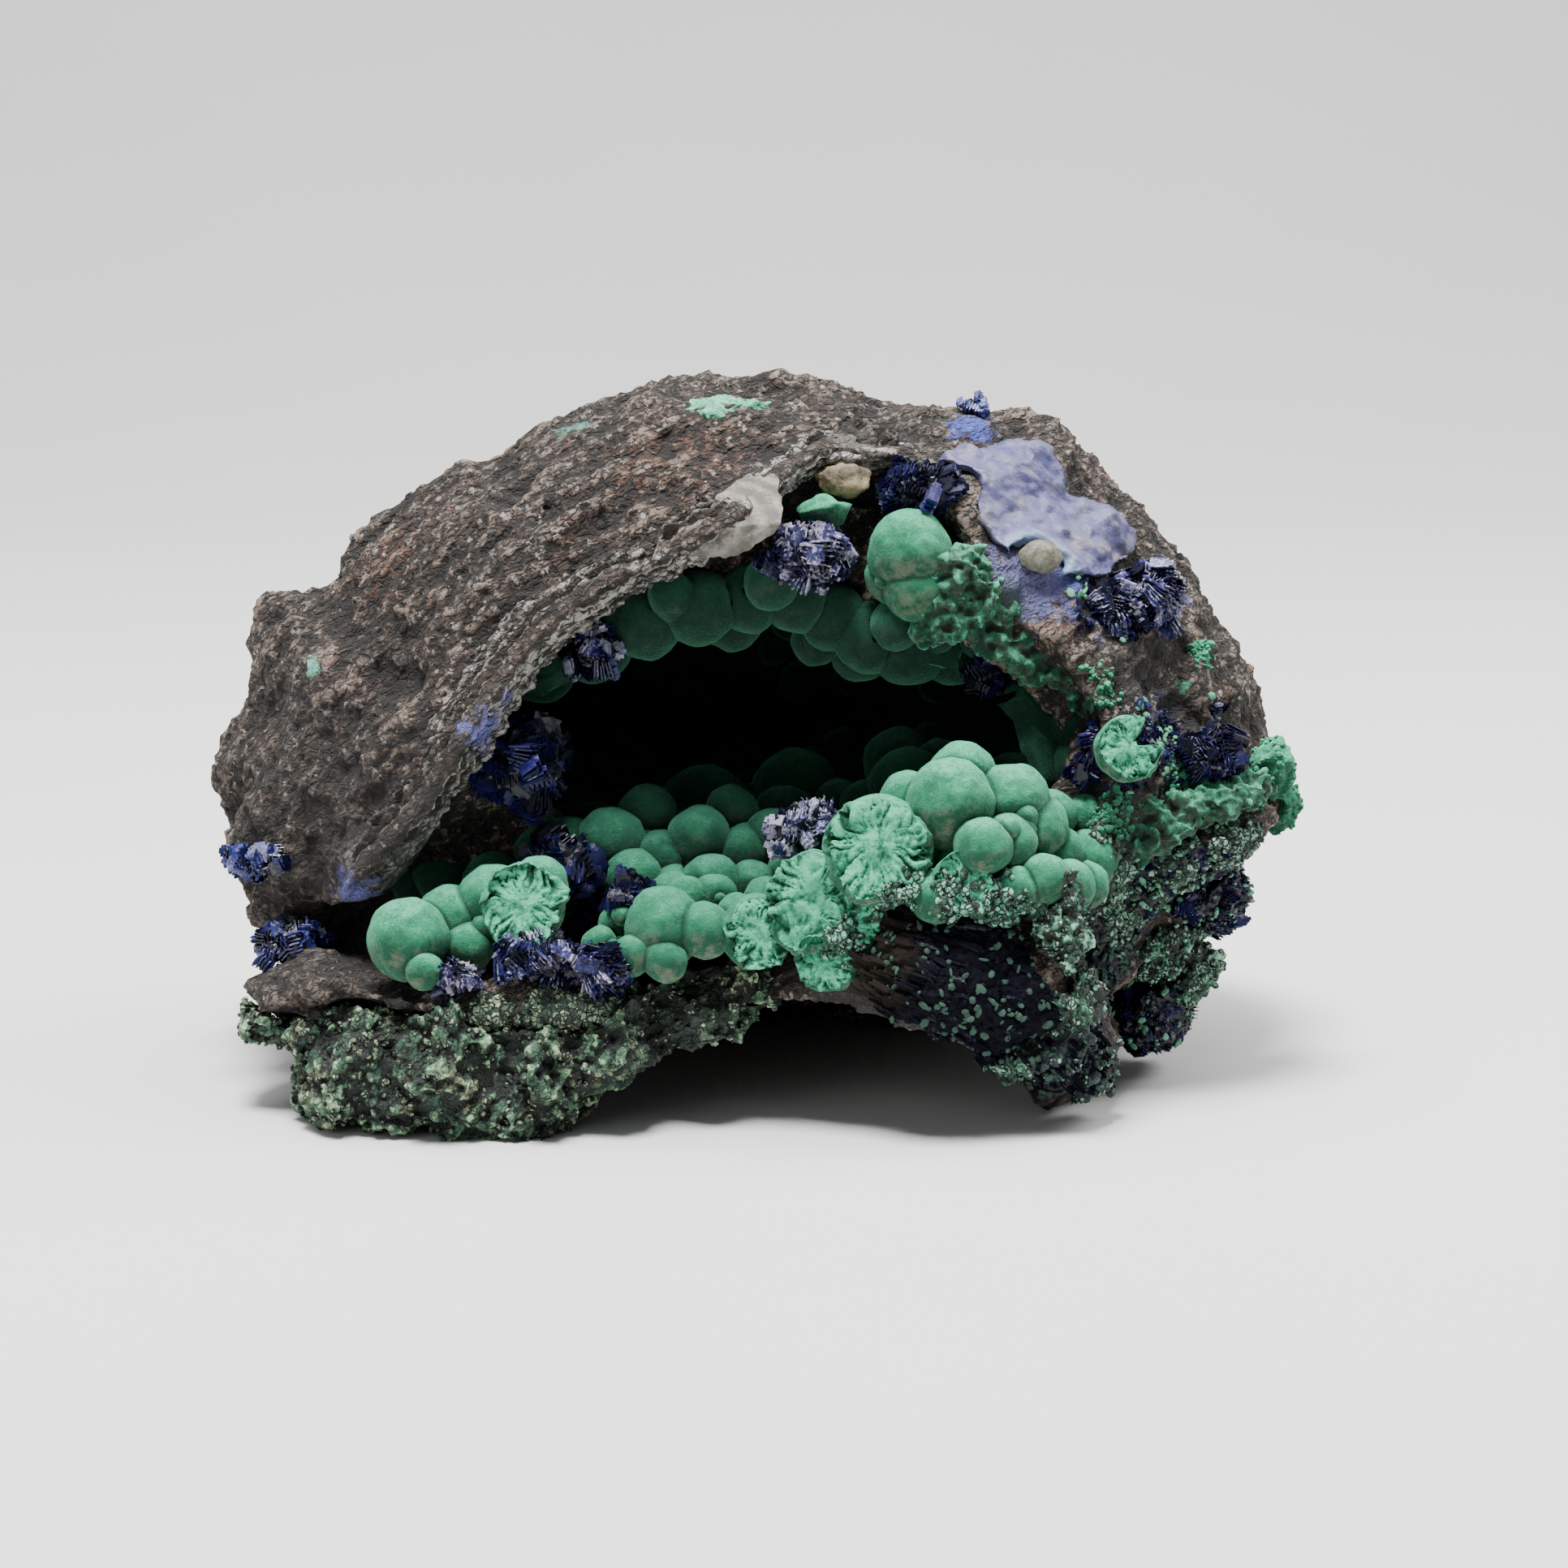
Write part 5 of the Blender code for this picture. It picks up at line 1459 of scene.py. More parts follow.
@dataclass
class BallGroup(Piece):
    """Malachite balls grown into each other, whole ones and broken ones."""

    balls: tuple[Ball, ...] = ()
    broken: tuple[Broken, ...] = ()
    buds: int = 0
    edge: float = 0.4
    hidden: float = 0.3
    merge: float = 0.0
    merged_triangles: int = 12_000
    bite: Optional[Place] = None
    reliefs: tuple[Relief, ...] = (
        Relief(Grain.SWELL, 3.0, 0.8, depth=1, seed=1.5),
        Relief(Grain.SWELL, 1.0, 0.2, depth=1, seed=2.5),
    )

    def make(self) -> bpy.types.Object:
        """Builds the balls."""
        parts = []
        if self.balls:
            parts.append(self.whole_balls(self.balls + self.some_buds()))
        parts += [self.broken_ball(place, way) for place, way in self.broken]
        group = join(self.name, parts)
        mark_relief(group, 6)
        shade(group)
        return group

    def some_buds(self) -> tuple[Ball, ...]:
        """Places small balls in the creases between large ones, on their front side.

        Returns:
            The small balls.
        """
        chance = random.Random(len(self.balls) + self.buds)
        pairs = [(one, two) for one in self.balls for two in self.balls if one < two]
        chance.shuffle(pairs)
        buds: list[Ball] = []
        for one, two in pairs:
            axis = Vector(two[:3]) - Vector(one[:3])
            if not abs(one[3] - two[3]) < axis.length < one[3] + two[3] or len(buds) == self.buds:
                continue
            run = (axis.length_squared + one[3] ** 2 - two[3] ** 2) / (2 * axis.length)
            ring = math.sqrt(max(0.01, one[3] ** 2 - run * run))
            axis.normalize()
            way = Vector((chance.uniform(-0.6, 0.6), -1, chance.uniform(-0.5, 0.9)))
            way = (way - axis * way.dot(axis)).normalized()
            radius = min(one[3], two[3]) * chance.uniform(0.28, 0.5)
            spot = Vector(one[:3]) + axis * run + way * (ring + radius * 0.1)
            buds.append((*spot, radius))
        return tuple(buds)

    def whole_balls(self, balls: Sequence[Ball]) -> bpy.types.Object:
        """Builds balls, without what lies inside other balls, and marks the creases between them.

        Args:
            balls: their centres and radii in the layout.

        Returns:
            The balls, in one mesh.
        """
        group = join("balls", [self.ball(place) for place in balls])
        spots = points_of(group)
        centres = np.array([to_frame(place[:3]) for place in balls])
        radii = np.array([place[3] for place in balls])
        far = np.linalg.norm(spots[:, None, :] - centres[None], axis=2) - radii
        far[np.arange(len(spots)), np.abs(far).argmin(1)] = FAR
        nearest = far.min(1)
        # The creases are where the malachite's material paints shade.
        mark(group, "crease", np.clip(1 - np.abs(nearest) / 0.6, 0, 1))
        mesh = bmesh.new()
        mesh.from_mesh(group.data)
        mesh.verts.ensure_lookup_table()
        inside = [mesh.verts[index] for index in np.flatnonzero(nearest < -self.hidden)]
        bmesh.ops.delete(mesh, geom=inside, context="VERTS")
        mesh.to_mesh(group.data)
        mesh.free()
        if self.merge:
            remesh(group, self.merge)
        for relief in self.reliefs:
            relief.press(group)
        if self.merge:
            thin(group, self.merged_triangles)
        return group

    def ball(self, place: Ball) -> bpy.types.Object:
        """Adds one ball.

        Args:
            place: its centre and radius in the layout.

        Returns:
            The ball.
        """
        centre = to_frame(place[:3]) * MM
        detail = max(1, math.ceil(math.log2(1.1 * place[3] / self.edge))) + 1
        bpy.ops.mesh.primitive_ico_sphere_add(subdivisions=detail, radius=place[3] * MM, location=centre)
        return bpy.context.object

    def broken_ball(self, place: Ball, way: Place) -> bpy.types.Object:
        """Builds a ball that is broken across, rough inside and notched between the fibres at its edge.

        Args:
            place: its centre and radius in the layout.
            way: the way that its broken face looks.

        Returns:
            The ball.
        """
        radius, seed = place[3], place[0]
        chance = random.Random(int(seed * 10))
        round_count = int(math.tau * radius / 0.2)
        rings = int(round_count * 0.4)
        bpy.ops.mesh.primitive_uv_sphere_add(segments=round_count, ring_count=rings, radius=1)
        ball = bpy.context.object
        turn = facing(Vector(way)).to_3x3()
        centre = to_frame(place[:3])
        cut = chance.uniform(0.25, 0.45)
        reach = math.sqrt(1 - cut * cut)
        slope = Vector((chance.uniform(-0.3, 0.3), chance.uniform(-0.3, 0.3), 0))
        open_way = turn.inverted() @ Vector(self.bite or (0, 0, 1))
        open_at = math.atan2(open_way.y, open_way.x)
        fibres = []
        for vertex in ball.data.vertices:
            spot = vertex.co.copy()
            across = math.hypot(spot.x, spot.y)
            share = min(1.0, across / reach)
            angle = math.atan2(spot.y, spot.x)
            off = abs((angle - open_at + math.pi) % math.tau - math.pi)
            angle += 0.5 * noise.noise(spot * 1.6 + Vector((seed, 0, 0)))
            round_spot = Vector((math.cos(angle), math.sin(angle), 0))
            rays = noise.noise(round_spot * 8 + Vector((0, 0, seed + share * 0.7)))
            rays += 0.6 * noise.noise(round_spot * 17 + Vector((0, 0, seed - share)))
            crack = max(0.0, 1 - abs(noise.noise(round_spot * 3.6 + Vector((0, 0, seed + 9)))) / 0.07)
            crack *= min(1.0, max(0.0, (share - 0.3) / 0.3))
            notch = max(0.0, noise.noise(round_spot * 5 + Vector((0, 0, seed + 4))) - 0.15)
            notch *= min(1.0, max(0.0, (share - 0.6) / 0.3))
            grit = noise.noise(spot * 5 + Vector((0, seed, 0))) + 0.7 * noise.noise(spot * 11)
            bite = 0.0
            if self.bite is not None:
                bite = max(0.0, min(1.0, (0.55 - off) / 0.2)) * max(0.0, min(1.0, (across - 0.2) / 0.2))
            fibre = 0.0
            if spot.z > cut - 0.2:
                lobe = noise.noise(round_spot * 1.2 + Vector((0, 0, seed)))
                lobe += 0.5 * noise.noise(round_spot * 2.7)
                wide = 1 + 0.05 * rays * share - 0.4 * notch + 0.16 * lobe
                spot.x, spot.y = spot.x * wide, spot.y * wide
            if spot.z > cut:
                spot.z = cut + slope.dot(spot) + 0.05 * rays * share + 0.05 * grit - 0.1 * crack - 0.5 * notch
                spot.z += 0.16 * noise.noise(spot * 2.2 + Vector((seed, 0, 0)))
                fibre = 0.6 + 0.4 * rays * share + 0.35 * grit + 0.3 * (share > 0.8) * (rays > -0.05)
                fibre = min(1.0, max(0.08, fibre - 0.8 * crack - notch * 2))
            spot.x, spot.y = spot.x * (1 - 0.6 * bite), spot.y * (1 - 0.6 * bite)
            spot.z -= bite * 0.5 * max(0.0, spot.z + 0.3)
            swell = 1 + 0.07 * noise.noise(spot * 1.8)
            vertex.co = (turn @ (spot * radius * swell) + centre) * MM
            fibres.append(fibre * (1 - bite) + 0.07 * bite * (fibre > 0))
        mark(ball, "fibre", np.array(fibres))
        return ball


@dataclass
class HollowLining(BallGroup):
    """The crust of the hollow: the solid's sheet, lumpy, with its balls and more small ones between."""

    sheet_voxel: float = 1.0
    sheet_faces: int = 9_000
    fill: int = 70
    fill_radius: tuple[float, float] = (1.1, 2.1)
    fill_inward: float = 2.0
    fill_clear: float = 1.15
    fill_sunk: float = 0.35
    hollow_middle: Place = (1.0, -6.0, 30.0)

    def make(self) -> bpy.types.Object:
        """Builds the crust."""
        sheet = copy_of_node("malachite_lining", "sheet")
        self.balls += self.more_balls(sheet)
        remesh(sheet, self.sheet_voxel)
        relax(sheet, 2)
        Relief(Grain.KNOBS, 3.6, -1.0, 0.35, depth=1, seed=6.0).press(sheet)
        thin(sheet, self.sheet_faces)
        mark_relief(sheet)
        balls = super().make()
        return join(self.name, [balls, sheet])

    def more_balls(self, sheet: bpy.types.Object) -> tuple[Ball, ...]:
        """Places small balls on the sheet where there are no large ones.

        Args:
            sheet: the sheet.

        Returns:
            The small balls.
        """
        chance = np.random.default_rng(self.fill)
        places, normals = sample_surface(sheet, self.fill * 4, chance)
        centres = np.array([to_frame(ball[:3]) for ball in self.balls])
        radii = np.array([ball[3] for ball in self.balls])
        added: list[Ball] = []
        middle = Vector(self.hollow_middle)
        for place, normal in zip(places, normals):
            inward = (middle - Vector(place)).dot(Vector(normal)) > self.fill_inward
            clear = (np.linalg.norm(centres - place, axis=1) / radii).min() > self.fill_clear
            if inward and clear and len(added) < self.fill:
                radius = chance.uniform(*self.fill_radius)
                spot = Vector(place) - Vector(normal) * radius * self.fill_sunk + LAYOUT_MIDDLE
                added.append((*spot, radius))
                centres = np.vstack([centres, place])
                radii = np.append(radii, radius * 0.7)
        return tuple(added)


def facet(obj: bpy.types.Object, voxel: float, size: float, height: float, triangles: int) -> None:
    """Breaks a solid's surface into many small crystal faces.

    Args:
        obj: the object.
        voxel: the side of the quads that it is rebuilt from, in millimetres.
        size: the size of its lumps in millimetres.
        height: how far they stand out.
        triangles: how many faces are left.
    """
    remesh(obj, voxel)
    relax(obj, 3)
    Relief(Grain.PLATES, size, height, 0.3, depth=0, seed=size).press(obj)
    Relief(Grain.CRUMBS, size * 0.5, height * 0.5, 0.4, depth=1, seed=size).press(obj)
    thin(obj, triangles)
    select_only(obj)
    bpy.ops.object.shade_flat()


@dataclass
class BladeCluster(Piece):
    """Azurite blades in fans that stand out of the solid that they grow on, or out of the rock."""

    fans: int = 26
    per_fan: tuple[int, int] = (4, 8)
    length: float = 2.4
    width: float = 1.3
    thickness: float = 0.24
    proud: float = 0.7
    lay: Optional[Place] = None
    lean: float = 0.0
    spread: float = 0.5
    regions: tuple[Region, ...] = ()
    specks: int = 0
    core_faces: int = 1800
    on: str = "rock"
    core_size: float = 1.3
    core_height: float = 0.9
    core_tone: float = 0.12

    def make(self) -> bpy.types.Object:
        """Builds the blades and the core that they stand on."""
        chance = np.random.default_rng(len(self.name) * 7 + self.fans)
        if self.node:
            core = copy_of_node(self.node, f"{self.name}_core")
            facet(core, 0.3, self.core_size, self.core_height, self.core_faces)
            mark(core, "tone", np.full(len(core.data.vertices), self.core_tone))
        else:
            core = bpy.data.objects[self.on]
        places, normals = sample_surface(core, self.fans, chance, self.regions)
        middle = points_of(core).mean(0)
        frames: list[Matrix] = []
        tones: list[float] = []
        for place, normal in zip(places, normals):
            way = Vector(normal) + Vector(place - middle).normalized() * self.spread
            way = way + self.jitter(chance, 0.35)
            side = way.cross(self.jitter(chance, 1.0) + Vector((0.3, 0.2, 0.9)))
            if self.lay is not None:
                way = way.normalized() * (1 - self.lean) + Vector(self.lay) * self.lean
                way = way + self.jitter(chance, 0.12)
                side = Vector(normal) + self.jitter(chance, 0.25)
                side -= way * side.dot(way) / way.length_squared
            self.add_fan(Vector(place), way.normalized(), side.normalized(), chance, frames, tones)
        parts = [repeat_shape(f"{self.name}_blades", self.blade(), frames, tones)]
        if self.specks:
            parts.append(self.speckle(core, chance))
        if self.node:
            parts.append(core)
        cluster = join(self.name, parts)
        keep_off_floor(cluster)
        return cluster

    def speckle(self, core: bpy.types.Object, chance: np.random.Generator) -> bpy.types.Object:
        """Sets small green grains between the blades.

        Args:
            core: what the blades stand on.
            chance: the source of random numbers.

        Returns:
            The grains, in one mesh.
        """
        places, normals = sample_surface(core, self.specks, chance, self.regions)
        frames = []
        for place, normal in zip(places, normals):
            sides = [chance.uniform(0.15, 0.6), chance.uniform(0.12, 0.42), chance.uniform(0.12, 0.24)]
            lift = Matrix.Translation(Vector(place) + Vector(normal) * self.proud * chance.uniform(0.4, 0.9))
            turn = facing(Vector(normal), chance.uniform(0, FULL_SPIN))
            frames.append(lift @ turn @ Matrix.Diagonal((*sides, 1)))
        bpy.ops.mesh.primitive_ico_sphere_add(subdivisions=1, radius=1)
        return repeat_shape(f"{self.name}_specks", bpy.context.object, frames, [SPECK_TONE] * len(frames))

    def jitter(self, chance: np.random.Generator, size: float) -> Vector:
        """A random short vector."""
        return Vector(chance.uniform(-size, size, 3))

    def add_fan(
        self,
        place: Vector,
        way: Vector,
        side: Vector,
        chance: np.random.Generator,
        frames: list[Matrix],
        tones: list[float],
    ) -> None:
        """Adds the places of one fan's blades.

        Args:
            place: where the fan leaves the surface.
            way: the way that its blades point.
            side: the way that they are stacked.
            chance: the source of random numbers.
            frames: the list that the places are added to.
            tones: the list that the blades' tones are added to.
        """
        count = int(chance.integers(*self.per_fan))
        tone = chance.random()
        for number in range(count):
            offset = number - (count - 1) / 2
            tilt = Matrix.Rotation(offset * 0.07, 3, way.cross(side)) @ way
            length = self.length * chance.uniform(0.7, 1.15)
            foot = place + side * (offset * self.thickness * 1.3)
            foot -= tilt * (length - self.proud * chance.uniform(0.4, 1.3))
            cross = side.cross(tilt).normalized()
            turn = Matrix((cross, tilt.cross(cross), tilt)).transposed().to_4x4()
            size = (
                self.width * chance.uniform(0.6, 1.2),
                self.thickness * chance.uniform(0.6, 1.3),
                length,
            )
            frames.append(Matrix.Translation(foot) @ turn @ Matrix.Diagonal((*size, 1)))
            tones.append(min(1.0, max(0.0, tone * 0.7 + chance.uniform(0, 0.4))))

    def blade(self) -> bpy.types.Object:
        """One blade: a flat six-sided prism with a chisel tip, 1 high on a base of 1 by 1."""
        bpy.ops.mesh.primitive_cylinder_add(vertices=6, radius=0.5, depth=0.8, location=(0, 0, 0.4))
        blade = bpy.context.object
        bpy.ops.object.transform_apply(location=True, rotation=True, scale=True)
        for face in blade.data.polygons:
            face.select = face.center.z > 0.7
        bpy.ops.object.mode_set(mode="EDIT")
        bpy.ops.mesh.extrude_region_move(TRANSFORM_OT_translate={"value": (0, 0, 0.2)})
        bpy.ops.transform.resize(value=(0.55, 0.2, 1))
        bpy.ops.object.mode_set(mode="OBJECT")
        return blade


@dataclass
class GranularCrust(Piece):
    """A knobbly crust set with many small grains, or such grains alone on the rock."""

    voxel: float = 0.36
    triangles: int = 90_000
    grains: int = 1500
    grain_size: tuple[float, float] = (0.16, 0.42)
    rings: float = 0.0
    smooth: int = 3
    drop: float = 0.0
    on: str = "rock"
    regions: tuple[Region, ...] = ()
    reliefs: tuple[Relief, ...] = (
        Relief(Grain.SWELL, 5.0, 1.6, depth=1, seed=0.7),
        Relief(Grain.KNOBS, 2.4, -2.0, 0.35, depth=1, seed=1.7),
        Relief(Grain.CRUMBS, 1.2, 1.0, 0.35, depth=2, seed=2.7),
        Relief(Grain.KNOBS, 1.6, 1.0, 1.0, depth=0, seed=3.7, full_at=0.36),
    )

    def make(self) -> bpy.types.Object:
        """Builds the crust."""
        if not self.node:
            return self.scatter(bpy.data.objects[self.on])
        crust = copy_of_node(self.node, self.name)
        remesh(crust, self.voxel)
        relax(crust, self.smooth)
        for relief in self.reliefs:
            relief.press(crust)
        set_points(crust, points_of(crust) - np.array((0.0, 0.0, self.drop)))
        thin(crust, self.triangles)
        mark_relief(crust)
        crust.data.shade_flat()
        if self.grains:
            crust = join(self.name, [crust, self.scatter(crust)])
        keep_off_floor(crust)
        return crust

    def scatter(self, crust: bpy.types.Object) -> bpy.types.Object:
        """Sets grains on the crust's surface, or along the edges of rings if the crust has them.

        Args:
            crust: the crust.

        Returns:
            The grains, in one mesh.
        """
        chance = np.random.default_rng(len(self.name) + self.grains)
        wanted = self.grains * (4 if self.rings else 1)
        places, normals = sample_surface(crust, wanted, chance, self.regions)
        frames, tones = [], []
        for place, normal in zip(places, normals):
            if self.rings:
                near = noise.voronoi(Vector(place) / self.rings)[0]
                if near[1] - near[0] > 0.16:
                    continue
            size = chance.uniform(*self.grain_size) * chance.uniform(0.6, 1.1)
            sides = [size * chance.uniform(0.6, 1.3) for _ in range(3)]
            spot = Matrix.Translation(Vector(place) + Vector(normal) * size * 0.2)
            turn = facing(Vector(normal), chance.uniform(0, FULL_SPIN))
            frames.append(spot @ turn @ Matrix.Diagonal((*sides, 1)))
            tones.append(chance.random())
        bpy.ops.mesh.primitive_ico_sphere_add(subdivisions=1, radius=1)
        return repeat_shape(f"{self.name}_grains", bpy.context.object, frames, tones)


@dataclass
class SmoothLayer(Piece):
    """A smooth solid, rounded and gently uneven."""

    voxel: float = 0.3
    smooth: int = 5
    sink: float = 0.0
    reliefs: tuple[Relief, ...] = (Relief(Grain.SWELL, 3.0, 0.5, depth=2, seed=0.4),)

    def make(self) -> bpy.types.Object:
        """Builds the layer."""
        layer = copy_of_node(self.node, self.name)
        remesh(layer, self.voxel)
        relax(layer, self.smooth)
        for relief in self.reliefs:
            relief.press(layer)
        set_points(layer, points_of(layer) + np.array((0.0, self.sink, 0.0)))
        mark_relief(layer, 6)
        shade(layer)
        return layer


@dataclass(frozen=True)
class SoftLight:
    """A square soft light: its place, its side in millimetres, its power in watts and what it looks at."""

    name: str
    place: Place
    side: float
    power: float
    aim: Place = (0.0, -5.0, 30.0)

    def add(self) -> None:
        """Adds the light."""
        spot = Vector(self.place) * MM
        bpy.ops.object.light_add(type="AREA", location=spot)
        light = bpy.context.object
        light.name = self.name
        light.data.size = self.side * MM
        light.data.energy = self.power
        light.rotation_euler = (Vector(self.aim) * MM - spot).to_track_quat("-Z", "Y").to_euler()


@dataclass
class Studio:
    """The pale floor with its curved back, the soft lights and the camera."""

    camera_place: Place = (3.8, -350.0, 86.6)
    camera_tilt: float = 10.2
    focal_pixels: float = 4860.0
    sensor: float = 36.0
    floor_half: float = 1600.0
    floor_back: float = 420.0
    curve: float = 900.0
    wall: float = 900.0
    curve_steps: int = 64
    lights: tuple[SoftLight, ...] = (
        SoftLight("key", (-60.0, -140.0, 560.0), 180.0, 9.6),
        SoftLight("fill", (-420.0, -520.0, 260.0), 500.0, 1.0),
        SoftLight("edge", (380.0, 80.0, 380.0), 260.0, 2.4),
        SoftLight("back", (0.0, 260.0, 900.0), 900.0, 16.0, (0.0, 900.0, 300.0)),
    )
    sky: float = 0.16
    sky_colour: Colour = (0.9, 0.95, 1.0)
    clip_start: float = 10.0

    def build(self) -> None:
        """Builds the studio."""
        self.floor()
        for light in self.lights:
            light.add()
        world = bpy.data.worlds.new("studio")
        world.use_nodes = True
        background = world.node_tree.nodes["Background"]
        background.inputs["Color"].default_value = (*self.sky_colour, 1)
        background.inputs["Strength"].default_value = self.sky
        bpy.context.scene.world = world
        self.camera()

    def floor(self) -> None:
        """Adds the floor, which curves up behind the specimen."""
        deselect()
        bpy.ops.mesh.primitive_grid_add(x_subdivisions=1, y_subdivisions=self.curve_steps, size=2)
        floor = bpy.context.object
        floor.name = "floor"
        spots = points_of(floor) * MM
        steps = np.round((spots[:, 1] + 1) / 2 * self.curve_steps)
        turns = np.clip((steps - 1) / (self.curve_steps - 2), 0, 1) * math.pi / 2
        spots[:, 0] *= self.floor_half
        spots[:, 1] = self.floor_back + self.curve * np.sin(turns)
        spots[:, 2] = self.curve * (1 - np.cos(turns))
        spots[steps == 0, 1] = -self.floor_half
        spots[steps == self.curve_steps, 2] += self.wall
        set_points(floor, spots)
        shade(floor)
        floor.data.materials.append(Finish.FLOOR.material())

    def camera(self) -> None:
        """Adds the camera."""
        bpy.ops.object.camera_add(location=to_frame(self.camera_place) * MM)
        camera = bpy.context.object
        camera.name = "camera"
        camera.rotation_euler = (math.radians(90 - self.camera_tilt), 0, 0)
        camera.data.sensor_width = self.sensor
        camera.data.lens = self.focal_pixels * self.sensor / IMAGE_SIDE
        camera.data.clip_start = self.clip_start * MM
        bpy.context.scene.camera = camera


ROUGH: tuple[Relief, ...] = (
    Relief(Grain.SWELL, 2.6, 1.6, depth=1, seed=1.5, warp=True),
    Relief(Grain.CRUMBS, 2.0, 1.1, 0.35, depth=1, seed=3.5),
    Relief(Grain.KNOBS, 1.2, -0.6, 0.3, depth=0, seed=2.5),
    Relief(Grain.CRUMBS, 0.9, 0.5, 0.35, depth=1, seed=4.5),
)

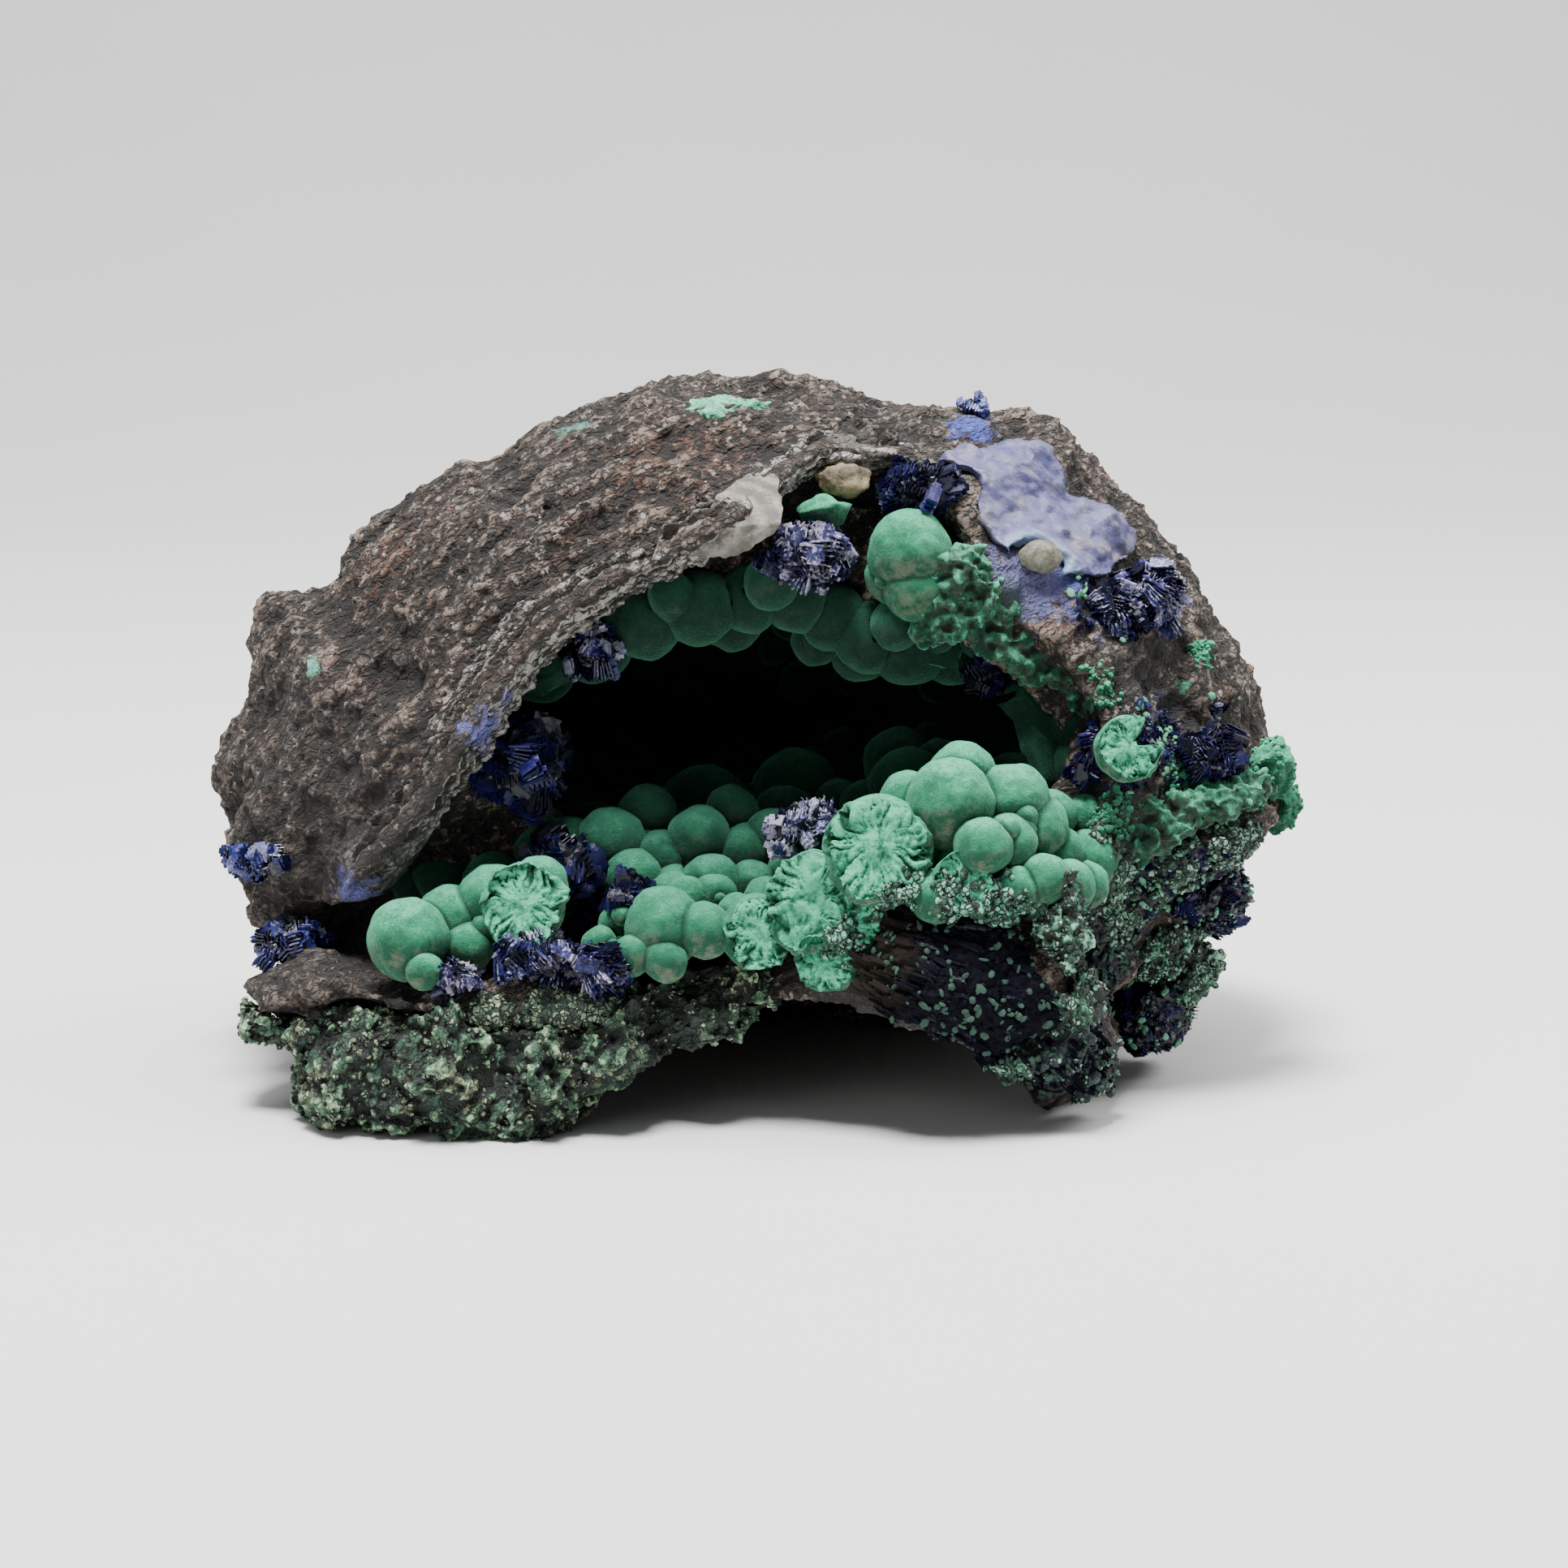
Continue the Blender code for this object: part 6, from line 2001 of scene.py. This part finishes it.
PIECES: tuple[Piece, ...] = (
    HostRock("rock", Finish.GOSSAN, "host_rock"),
    RimPlates("rim_plates", Finish.GOSSAN),
    PaleTongue("rim_tongue", Finish.PALE_LAYER),
    HollowLining(
        "hollow_lining", Finish.MALACHITE_HOLLOW, "malachite_lining",
        ROOF_BALLS + WALL_BALLS + BACK_BALLS + FLOOR_BALLS + FRONT_BALLS, edge=0.6,
    ),
    BallGroup("left_lip", Finish.MALACHITE, "malachite_left_lip", LEFT_LIP_BALLS, LEFT_LIP_BROKEN, 3),
    BallGroup("centre_lip", Finish.DUSTY, "malachite_centre_lip", CENTRE_LIP_BALLS, CENTRE_LIP_BROKEN, 4),
    BallGroup("mound", Finish.MALACHITE, "malachite_mound", MOUND_BALLS, MOUND_BROKEN, 9),
    BallGroup("brow", Finish.MALACHITE, "", BROW_BALLS, (), 1),
    BallGroup(
        "brow_crust", Finish.WEATHERED, "malachite_brow", BROW_CRUST_BALLS, (), 10, merge=0.24,
        reliefs=ROUGH,
    ),
    BallGroup(
        "wall_ball", Finish.MALACHITE, "malachite_wall_ball", (), WALL_BALL_BROKEN, bite=(0.8, 0.0, 0.5),
    ),
    BallGroup("ridge", Finish.WEATHERED, "malachite_ridge", RIDGE_BALLS, (), 10, merge=0.24, reliefs=ROUGH),
    BladeCluster(
        "brow_rosette", Finish.AZURITE_CHALKY, "azurite_brow_rosette", fans=46, width=1.9, thickness=0.3,
        proud=0.5,
    ),
    BladeCluster("alcove_blades", Finish.AZURITE, "azurite_alcove", fans=60, length=2.0),
    BladeCluster(
        "shoulder", Finish.AZURITE_DUSTED, "azurite_shoulder", fans=90, lay=(0.75, -0.35, -0.55), lean=0.5,
    ),
    BladeCluster(
        "left_wall", Finish.AZURITE, "azurite_left_wall", fans=76, width=1.7, thickness=0.32, proud=0.5,
    ),
    BladeCluster("left_small", Finish.AZURITE_DUSTED, "azurite_left_small", fans=30, length=1.8),
    BladeCluster("roof_tuft", Finish.AZURITE, "azurite_roof_tuft", fans=26, length=1.6),
    BladeCluster("floor_rosette", Finish.AZURITE, "azurite_floor_rosette", fans=50, width=1.9, thickness=0.3),
    BladeCluster("floor_bud", Finish.AZURITE, "azurite_floor_bud", fans=30, length=1.8),
    BladeCluster(
        "lip_strip", Finish.AZURITE_DUSTED, "azurite_lip_strip", fans=80, lay=(0.85, -0.3, -0.3), lean=0.4,
    ),
    BladeCluster("lip_bud", Finish.AZURITE_CHALKY, "azurite_lip_bud", fans=24, length=1.3, width=0.8),
    BladeCluster("mound_back", Finish.AZURITE_CHALKY, "azurite_mound_back", fans=44, length=2.0),
    BladeCluster("wall_blades", Finish.AZURITE, "azurite_wall", fans=40, length=1.8),
    BladeCluster("right_mass", Finish.AZURITE, "azurite_right_mass", fans=50, width=1.7, proud=0.5),
    BladeCluster("ledge_patch", Finish.AZURITE_STAIN, "azurite_ledge_patch", fans=40, length=1.4),
    BladeCluster("left_patch", Finish.AZURITE_STAIN, "azurite_left_patch", fans=36, length=1.2),
    BladeCluster("crest", Finish.AZURITE_STAIN, "azurite_crest", fans=20, length=0.7, width=1.0, proud=0.1),
    BladeCluster(
        "block_slab", Finish.AZURITE_SLAB, "azurite_block_slab", fans=230, length=2.0, width=0.55,
        thickness=0.2, proud=0.22, lay=(0.9, -0.2, -0.35), lean=0.9, per_fan=(2, 4), specks=240,
        core_faces=9000, core_size=1.1, core_height=0.7,
    ),
    BladeCluster(
        "upper_skirt", Finish.AZURITE, "azurite_upper_skirt", fans=96, length=1.6, width=0.9, proud=0.45,
        lay=(0.8, -0.3, 0.3), lean=0.5, specks=90, core_faces=4000,
    ),
    BladeCluster(
        "lower_skirt", Finish.AZURITE, "azurite_lower_skirt", fans=96, length=1.6, width=0.9, proud=0.45,
        lay=(0.8, -0.3, 0.3), lean=0.5, specks=90, core_faces=4000,
    ),
    BladeCluster(
        "wall_sprinkle", Finish.AZURITE, fans=170, length=1.2, width=0.7, thickness=0.2, proud=0.4,
        per_fan=(2, 5), specks=90,
        regions=(
            ((34.5, -17.5, 31.0), 4.5), ((41.5, -11.5, 31.5), 3.5), ((31.5, -18.0, 43.0), 4.5),
            ((33.5, -18.5, 19.0), 4.5), ((12.5, -14.0, 53.5), 2.5), ((38.5, -18.3, 19.4), 4.0),
            ((32.0, -21.5, 29.0), 2.5), ((28.5, -16.0, 44.0), 2.0),
        ),
    ),
    GranularCrust(
        "wall_grains", Finish.RIND, grains=520, grain_size=(0.14, 0.4),
        regions=(
            ((39.0, -10.5, 37.5), 2.0), ((37.5, -17.0, 27.5), 4.0), ((30.5, -20.5, 36.0), 3.0),
            ((43.5, -14.0, 27.0), 3.0), ((30.5, -22.8, 25.0), 3.4),
        ),
    ),
    GranularCrust(
        "wall_druse", Finish.DRUSE_GREEN, grains=700, grain_size=(0.25, 0.6),
        regions=(
            ((30.0, -23.4, 20.0), 4.5), ((31.5, -21.1, 16.5), 3.5), ((42.0, -18.5, 22.0), 4.0),
            ((37.0, -18.8, 20.0), 4.0),
        ),
    ),
    GranularCrust(
        "ledge_crust", Finish.DRUSE, grains=900, grain_size=(0.25, 0.65),
        regions=(
            ((-21.3, -32.0, 10.2), 2.4), ((-15.5, -32.2, 10.6), 3.4), ((-10.7, -30.8, 10.9), 3.6),
            ((-7.4, -29.0, 11.6), 2.5),
        ),
    ),
    GranularCrust("left_crust", Finish.DRUSE, "malachite_left_crust", grains=1900, triangles=44_000),
    GranularCrust(
        "right_crust", Finish.DRUSE_GREEN, "malachite_right_crust", grains=900, triangles=22_000,
        grain_size=(0.2, 0.5),
    ),
    BladeCluster(
        "foot_blades", Finish.AZURITE_SLAB, fans=170, length=1.5, width=0.55, thickness=0.2, proud=0.4,
        lay=(0.7, -0.2, -0.65), lean=0.9, per_fan=(2, 4), specks=170, on="right_crust",
        regions=(((27.0, -30.0, 4.0), 6.5), ((22.0, -30.5, 5.0), 4.5), ((29.5, -28.0, 8.0), 4.0)),
    ),
    BladeCluster(
        "foot_specks", Finish.AZURITE_SLAB, fans=70, length=1.5, width=0.55, thickness=0.2, proud=0.4,
        lay=(0.7, -0.2, -0.65), lean=0.9, per_fan=(2, 4), specks=100,
        regions=(((31.0, -21.0, 12.5), 5.0), ((17.4, -30.0, 8.1), 3.0), ((24.0, -27.5, 3.7), 4.0)),
    ),
    GranularCrust(
        "skirt_druse", Finish.DRUSE_GREEN, "malachite_skirt_druse", grains=800, rings=2.6, triangles=16_000,
    ),
    GranularCrust(
        "mound_crumbs", Finish.CRUMBS, grains=760, grain_size=(0.25, 0.6), on="mound",
        regions=(
            ((20.6, -31.6, 19.6), 3.4), ((17.0, -32.5, 20.5), 2.6), ((24.8, -28.5, 19.4), 3.2),
            ((26.3, -27.1, 17.1), 3.0), ((12.0, -32.0, 19.6), 2.2), ((8.0, -31.0, 16.5), 2.2),
            ((13.0, -33.2, 22.0), 2.0),
        ),
    ),
    GranularCrust(
        "rind", Finish.RIND, "malachite_rind", grains=160, triangles=16_000, voxel=0.3,
        reliefs=(Relief(Grain.KNOBS, 1.8, -0.9, 0.35, depth=1, seed=1.7),),
    ),
    GranularCrust(
        "top_patch", Finish.CELADON, "malachite_top_patch", grains=0, triangles=12_000, voxel=0.25, drop=0.8,
        reliefs=(
            Relief(Grain.SWELL, 1.6, 1.4, depth=2, seed=1.1, warp=True),
            Relief(Grain.KNOBS, 1.2, -0.6, 0.35, depth=1, seed=1.7),
        ),
    ),
    SmoothLayer(
        "alcove_ball", Finish.MALACHITE, "malachite_alcove",
        reliefs=(Relief(Grain.KNOBS, 1.8, -0.6, 0.35, depth=0, seed=1.1),),
    ),
    SmoothLayer(
        "seam", Finish.PALE_SEAM, "pale_blue_seam", sink=0.65, smooth=3,
        reliefs=(
            Relief(Grain.SWELL, 1.8, 1.0, depth=1, seed=0.4, warp=True),
            Relief(Grain.RIDGES, 3.4, 0.4, 0.5, 2.4, (0.8, -0.2, -0.5), 2, seed=1.4),
            Relief(Grain.CRUMBS, 1.4, 0.4, 0.4, depth=1, seed=2.4),
        ),
    ),
    SmoothLayer("nodule", Finish.NODULE, "grey_nodule", voxel=0.2),
    SmoothLayer(
        "tan_stone", Finish.TAN, "tan_crystal", voxel=0.3, smooth=2,
        reliefs=(Relief(Grain.PLATES, 1.6, 0.5, depth=0),),
    ),
)


def main() -> None:
    """Builds the specimen and the studio."""
    logging.basicConfig(level=logging.INFO, format="%(message)s")
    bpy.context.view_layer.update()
    for piece in PIECES:
        piece.build()
    Studio().build()


if __name__ == "__main__":
    main()
